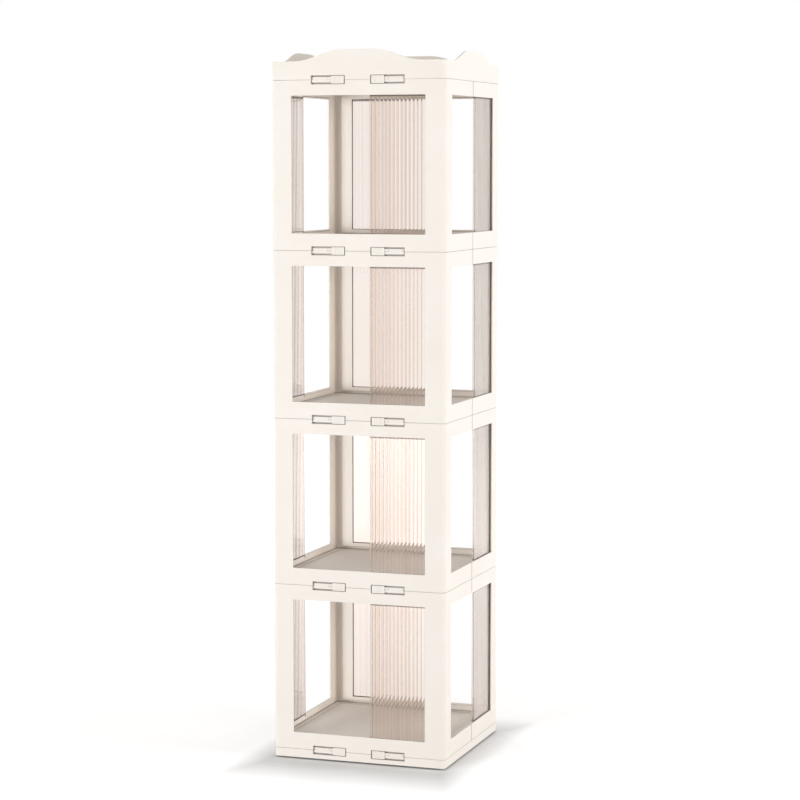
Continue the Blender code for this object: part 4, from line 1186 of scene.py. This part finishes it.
def tea_material(colours):
    """Clear tea-coloured plastic with painted shade along its edges, in its reed valleys and under each upper
    rail. Light for what is behind it passes straight through.
    """
    material, tree, shader, place = new_material("tea_clear_plastic_finish")
    base = colours.tea
    body = effect(tree, moulded_group, place=place, colour=base,
                  patch_colour=toned(base, 0.98, 0.96, 0.95), patch_share=0.7,
                  roughness=0.02, roughness_swing=0.01, grain_scale=500.0)
    streaks = effect(tree, drawn_group, place=place, colour=body["Colour"],
                     streak_colour=toned(base, 0.88, 0.85, 0.83), share=0.8)["Colour"]
    outside = number(tree, "SUBTRACT", 1.0, place_node(tree, "ShaderNodeNewGeometry").outputs["Backfacing"])
    # Painted shade: dark lines on the outside along rounded edges and reed valleys, where the clear plastic
    # would bend light away.
    edge = number(tree, "MULTIPLY", effect(tree, edge_group, radius=0.0009, full=0.94)["Mask"], outside)
    # Painted shade on a panel just under its upper rail.
    height = place_node(tree, "ShaderNodeSeparateXYZ", {0: place}).outputs["Z"]
    above_seam = number(tree, "SUBTRACT", height, BASE_HEIGHT)
    storey_height = number(tree, "FLOORED_MODULO", above_seam, STOREY_PITCH)
    under_rail = number(tree, "MINIMUM", scaled(tree, storey_height, *RAIL_SHADE_START, 0.0, RAIL_SHADE),
                        scaled(tree, storey_height, *RAIL_SHADE_END, RAIL_SHADE, 0.0))
    painted_shade_lines = number(tree, "MAXIMUM", edge, under_rail)
    tree.links.new(blended(tree, painted_shade_lines, streaks, toned(base, 0.26, 0.22, 0.20)), shader.inputs["Base Color"])
    tree.links.new(body["Roughness"], shader.inputs["Roughness"])
    tree.links.new(bumped(tree, body["Height"], distance=0.00001, strength=0.05), shader.inputs["Normal"])
    shader.inputs["Transmission Weight"].default_value = 1.0
    shader.inputs["IOR"].default_value = 1.49
    shader.inputs["Specular IOR Level"].default_value = 0.3
    film = place_node(tree, "ShaderNodeBsdfTransparent",
                      {"Color": (*(math.sqrt(part) for part in base), 1.0)})
    path = place_node(tree, "ShaderNodeLightPath")
    mix = place_node(tree, "ShaderNodeMixShader", {0: path.outputs["Is Shadow Ray"],
                                                   1: shader.outputs[0], 2: film.outputs[0]})
    tree.links.new(mix.outputs[0], tree.nodes["Material Output"].inputs["Surface"])
    return material


def steel_material(colours):
    """Zinc-plated steel with a cloudy, faintly tinted plating and rubbed edges."""
    material, tree, shader, place = new_material("zinc_steel_finish")
    base = colours.steel
    body = effect(tree, moulded_group, place=place, colour=base,
                  patch_colour=toned(base, 0.86, 0.88, 0.93), patch_share=0.9,
                  roughness=0.34, roughness_swing=0.10, grain_scale=900.0)
    edge = effect(tree, edge_group, radius=0.0006, full=0.86)["Mask"]
    tree.links.new(blended(tree, edge, body["Colour"], (0.78, 0.78, 0.77)), shader.inputs["Base Color"])
    tree.links.new(number(tree, "SUBTRACT", body["Roughness"], number(tree, "MULTIPLY", edge, 0.1)),
                   shader.inputs["Roughness"])
    tree.links.new(bumped(tree, body["Height"], distance=0.00002, strength=0.3), shader.inputs["Normal"])
    shader.inputs["Metallic"].default_value = 1.0
    return material


def rubber_material(colours):
    """Matt grey rubber with dust and rubbed edges."""
    material, tree, shader, place = new_material("grey_rubber_finish")
    base = colours.rubber
    body = effect(tree, moulded_group, place=place, colour=base,
                  patch_colour=toned(base, 1.5, 1.5, 1.45), patch_share=0.7,
                  roughness=0.78, roughness_swing=0.08, grain_scale=1100.0)
    edge = effect(tree, edge_group, radius=0.0008, full=0.86)["Mask"]
    share = number(tree, "MULTIPLY", edge, 0.6)
    tree.links.new(blended(tree, share, body["Colour"], (0.16, 0.155, 0.15)), shader.inputs["Base Color"])
    tree.links.new(body["Roughness"], shader.inputs["Roughness"])
    tree.links.new(bumped(tree, body["Height"], distance=0.00006, strength=0.5), shader.inputs["Normal"])
    return material


FINISHES = {"ivory_plastic": ivory_material, "tea_clear_plastic": tea_material,
            "zinc_steel": steel_material, "grey_rubber": rubber_material}


def finish_named(context, slot):
    """The material of a slot, made the first time that it is asked for."""
    return bpy.data.materials.get(f"{slot}_finish") or FINISHES[slot](context.scene.shelf_colours)


# Pieces

def add_piece(context, name, mesh, node, slot, place=Matrix.Identity(4)):
    """Add a finished piece that stands for a solid and moves with its body."""
    own = mesh.copy()
    own.name = name
    own.transform(place)
    own.materials.clear()
    own.materials.append(finish_named(context, slot))
    own.shade_smooth()
    own.set_sharp_from_angle(angle=SMOOTH_UP_TO)
    piece = bpy.data.objects.new(name, own)
    context.scene.collection.objects.link(piece)
    shading = piece.modifiers.new("even_shading", "WEIGHTED_NORMAL")
    shading.keep_sharp = True
    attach(piece, frame["nodes"][node]["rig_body"])
    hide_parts(node)
    return piece


def storey_place(storey, turn=0):
    """Matrix that carries a piece made for the front of the lowest seam to its storey and side."""
    return raised(BASE_HEIGHT + (storey - 1) * STOREY_PITCH) @ quarter_turn(turn)


class SHELF_OT_half_shells(bpy.types.Operator):
    """Build the front and rear half shell of every storey"""

    bl_idname = "shelf_unit.half_shells"
    bl_label = "Half Shells"

    def execute(self, context):
        shell = shell_mesh(context.scene.shelf_shape)
        for storey in range(1, STOREY_COUNT + 1):
            for side, turn in (("front", 0), ("rear", 2)):
                add_piece(context, f"{side}_shell_{storey}", shell, f"storey_{storey}_{side}_shell",
                          "ivory_plastic", storey_place(storey, turn))
        return {"FINISHED"}


class SHELF_OT_reeded_panels(bpy.types.Operator):
    """Build the four reeded panels of every storey"""

    bl_idname = "shelf_unit.reeded_panels"
    bl_label = "Reeded Panels"

    def execute(self, context):
        panel = panel_mesh(context.scene.shelf_shape)
        for storey in range(1, STOREY_COUNT + 1):
            for side, turn in (("front", 0), ("right", 1), ("rear", 2), ("left", 3)):
                add_piece(context, f"{side}_reeded_panel_{storey}", panel, f"storey_{storey}_{side}_panel",
                          "tea_clear_plastic", storey_place(storey, turn))
        return {"FINISHED"}


class SHELF_OT_boards_and_trays(bpy.types.Operator):
    """Build the shelf boards, the top tray and the base tray"""

    bl_idname = "shelf_unit.boards_and_trays"
    bl_label = "Boards and Trays"

    def execute(self, context):
        shape = context.scene.shelf_shape
        board = board_mesh(shape)
        for storey in range(1, STOREY_COUNT + 1):
            add_piece(context, f"board_{storey}", board, f"storey_{storey}_shelf_board",
                      "ivory_plastic", storey_place(storey))
        add_piece(context, "top_tray_moulding", top_tray_mesh(shape), "top_tray", "ivory_plastic",
                  raised(TOP_SEAM))
        add_piece(context, "base_tray_moulding", base_tray_mesh(shape), "base_tray", "ivory_plastic")
        return {"FINISHED"}


class SHELF_OT_latches(bpy.types.Operator):
    """Build the sliders of every seam"""

    bl_idname = "shelf_unit.latches"
    bl_label = "Latch Sliders"

    def execute(self, context):
        slider = slider_mesh(context.scene.shelf_shape)
        for seam in range(STOREY_COUNT + 1):
            height = raised(BASE_HEIGHT + seam * STOREY_PITCH)
            for face, turn in (("front", 0), ("rear", 2)):
                for side, direction in (("left", -1), ("right", 1)):
                    across = direction if face == "front" else -direction
                    place = quarter_turn(turn) @ Matrix.Translation((across * SLIDER_CENTRE, -HALF, 0))
                    add_piece(context, f"latch_slider_{seam}_{face}_{side}", slider,
                              f"latch_{seam}_{face}_{side}", "ivory_plastic", height @ place)
        return {"FINISHED"}


class SHELF_OT_turntable(bpy.types.Operator):
    """Build the floor plate, feet, races, balls and pivot under the base tray"""

    bl_idname = "shelf_unit.turntable"
    bl_label = "Turntable"

    def execute(self, context):
        foot = posts("foot", FOOT_RADIUS, 0, FLOOR_GAP, steps=ROUND_STEPS * 2, rounding=FOOT_ROUND)
        for index in range(4):
            angle = (index + 1 / 2) * QUARTER
            place = Matrix.Translation((FOOT_CIRCLE * math.cos(angle), FOOT_CIRCLE * math.sin(angle), 0))
            add_piece(context, f"rubber_foot_{index + 1}", foot, f"foot_{index + 1}", "grey_rubber", place)
        for name, mesh, node in (("turntable_plate", floor_plate_mesh(), "floor_plate"),
                                 ("turntable_race", upper_race_mesh(), "upper_race"),
                                 ("turntable_cage", ball_cage_mesh(), "ball_cage"),
                                 ("turntable_bolt", bolt_mesh(), "pivot_bolt"),
                                 ("turntable_washer", washer_mesh(), "pivot_washer"),
                                 ("turntable_nut", nut_mesh(), "pivot_lock_nut")):
            add_piece(context, name, mesh, node, "zinc_steel")
        return {"FINISHED"}


# Stage

FLOOR_SIZE = 40.0
WORLD_STRENGTH = 0.43
CAMERA_PLACE = (1.5315, -4.4333, 1.1263)
CAMERA_HEADING = 0.32764
CAMERA_PITCH = -0.09635
CAMERA_LENS = 110.250

# How strongly the floor glows, and the distances where each glow starts and is full. Where the glow is still
# weak near the tower the floor shows painted shade round the base, and the front shift makes that painted
# shade reach further forward
NEAR_GLOW = 0.44
FAR_GLOW = 0.22
SIDE_GLOW_REACH = (HALF + 0.003, HALF + 0.06)
FRONT_GLOW_REACH = (HALF + 0.005, 0.31)
FRONT_GLOW_SHIFT = 0.03
FAR_GLOW_REACH = (0.5, 2.5)

# Name, place, size and power of each lamp
SOFTBOXES = (("side_softbox", (4.4, 0.1, 1.15), (2.4, 2.2), 118.0),
             ("front_softbox", (-2.7, -5.2, 1.15), (2.6, 2.2), 199.0),
             ("fill_softbox", (-3.5, 4.2, 2.8), (2.0, 3.0), 40.0))


def background_share(tree):
    """1 for the rays that show the background, straight or by a mirror or glass, and 0 for the rest."""
    path = place_node(tree, "ShaderNodeLightPath").outputs
    straight = number(tree, "MAXIMUM", path["Is Camera Ray"], path["Is Glossy Ray"])
    return number(tree, "MAXIMUM", straight, path["Is Transmission Ray"])


def add_floor(context, colour):
    """A wide pale floor that glows white away from the tower. Its glow fades towards the tower, which paints
    shade round the base on top of the real shadow, deepest in front.
    """
    bm = bmesh.new()
    bmesh.ops.create_grid(bm, x_segments=1, y_segments=1, size=FLOOR_SIZE / 2)
    floor = bpy.data.objects.new("studio_floor", finished(bm, "studio_floor"))
    context.scene.collection.objects.link(floor)
    material, tree, shader, place = new_material("studio_floor")
    speckle = place_node(tree, "ShaderNodeTexNoise", {"Vector": place, "Scale": 3.0,
                                                      "Detail": 2.0}).outputs[0]
    tree.links.new(blended(tree, speckle, colour, toned(colour, 0.985, 0.985, 0.985)),
                   shader.inputs["Base Color"])
    shader.inputs["Roughness"].default_value = 0.9
    shader.inputs["Specular IOR Level"].default_value = 0.1
    shader.inputs["Emission Color"].default_value = (1.0, 1.0, 1.0, 1.0)
    reach = place_node(tree, "ShaderNodeVectorMath", {0: place}, operation="LENGTH").outputs["Value"]
    sides = place_node(tree, "ShaderNodeSeparateXYZ", {0: place}).outputs
    beside = number(tree, "ABSOLUTE", sides["X"], 0.0)
    before = number(tree, "ABSOLUTE", number(tree, "ADD", sides["Y"], FRONT_GLOW_SHIFT), 0.0)
    # Painted shade: the glow fades to nothing towards the base, slowest in front of it.
    near_glow = number(tree, "MAXIMUM", scaled(tree, beside, *SIDE_GLOW_REACH, 0.0, NEAR_GLOW),
                       scaled(tree, before, *FRONT_GLOW_REACH, 0.0, NEAR_GLOW))
    far_glow = scaled(tree, reach, *FAR_GLOW_REACH, 0.0, FAR_GLOW)
    glow = number(tree, "ADD", near_glow, far_glow)
    tree.links.new(number(tree, "MULTIPLY", background_share(tree), glow),
                   shader.inputs["Emission Strength"])
    floor.data.materials.append(material)


def add_world(context):
    """Even studio light, with a plain white background for what is seen."""
    world = bpy.data.worlds.new("studio")
    world.use_nodes = True
    tree = world.node_tree
    light = tree.nodes["Background"]
    light.inputs["Color"].default_value = (1.0, 0.995, 0.985, 1.0)
    light.inputs["Strength"].default_value = WORLD_STRENGTH
    white = place_node(tree, "ShaderNodeBackground", {"Color": (1.0, 1.0, 1.0, 1.0), "Strength": 1.0})
    mix = place_node(tree, "ShaderNodeMixShader", {0: background_share(tree), 1: light.outputs[0],
                                                   2: white.outputs[0]})
    tree.links.new(mix.outputs[0], tree.nodes["World Output"].inputs["Surface"])
    context.scene.world = world


def add_softbox(context, name, place, target, size, power):
    """A wide soft lamp that faces a point and only lights: it isn't seen, straight or in a panel."""
    lamp = bpy.data.lights.new(name, "AREA")
    lamp.shape = "RECTANGLE"
    lamp.size = size[0]
    lamp.size_y = size[1]
    lamp.energy = power
    softbox = bpy.data.objects.new(name, lamp)
    context.scene.collection.objects.link(softbox)
    softbox.location = place
    softbox.rotation_euler = (Vector(target) - Vector(place)).to_track_quat("-Z", "Y").to_euler()
    softbox.visible_camera = False
    softbox.visible_transmission = False
    softbox.visible_glossy = False


def add_camera(context):
    """The camera at the photograph's viewing angle, without any shift."""
    lens = bpy.data.cameras.new("camera")
    lens.lens = CAMERA_LENS
    lens.sensor_width = 36.0
    camera = bpy.data.objects.new("camera", lens)
    context.scene.collection.objects.link(camera)
    camera.location = CAMERA_PLACE
    camera.rotation_euler = (QUARTER + CAMERA_PITCH, 0, CAMERA_HEADING)
    context.scene.camera = camera


class SHELF_OT_stage(bpy.types.Operator):
    """Set up the floor, the studio light and the camera"""

    bl_idname = "shelf_unit.stage"
    bl_label = "Stage"

    def execute(self, context):
        middle = (0, 0, CAD_BOX[1].z / 2)
        add_floor(context, context.scene.shelf_colours.floor)
        add_world(context)
        for name, place, size, power in SOFTBOXES:
            add_softbox(context, name, place, middle, size, power)
        add_camera(context)
        context.scene.view_settings.view_transform = "Standard"
        return {"FINISHED"}


class SHELF_PT_steps(bpy.types.Panel):
    """The steps that build the shelf unit, and its settings"""

    bl_idname = "SHELF_PT_steps"
    bl_label = "Rotating Shelf Unit"
    bl_space_type = "VIEW_3D"
    bl_region_type = "UI"
    bl_category = "Shelf Unit"

    def draw(self, context):
        layout = self.layout
        for step in STEPS:
            layout.operator(step.bl_idname)
        for settings in (context.scene.shelf_shape, context.scene.shelf_colours):
            column = layout.column()
            for name in settings.__annotations__:
                column.prop(settings, name)


STEPS = (SHELF_OT_half_shells, SHELF_OT_reeded_panels, SHELF_OT_boards_and_trays, SHELF_OT_latches,
         SHELF_OT_turntable, SHELF_OT_stage)
CLASSES = (ShelfShape, ShelfColours) + STEPS + (SHELF_PT_steps,)


def register():
    """Make the settings, steps and panel known to Blender."""
    for item in CLASSES:
        bpy.utils.register_class(item)
    bpy.types.Scene.shelf_shape = PointerProperty(type=ShelfShape)
    bpy.types.Scene.shelf_colours = PointerProperty(type=ShelfColours)


def unregister():
    """Take them out again."""
    del bpy.types.Scene.shelf_colours
    del bpy.types.Scene.shelf_shape
    for item in reversed(CLASSES):
        bpy.utils.unregister_class(item)


def main():
    """Build the whole scene."""
    register()
    bpy.ops.shelf_unit.half_shells()
    bpy.ops.shelf_unit.reeded_panels()
    bpy.ops.shelf_unit.boards_and_trays()
    bpy.ops.shelf_unit.latches()
    bpy.ops.shelf_unit.turntable()
    bpy.ops.shelf_unit.stage()


if __name__ == "__main__":
    main()
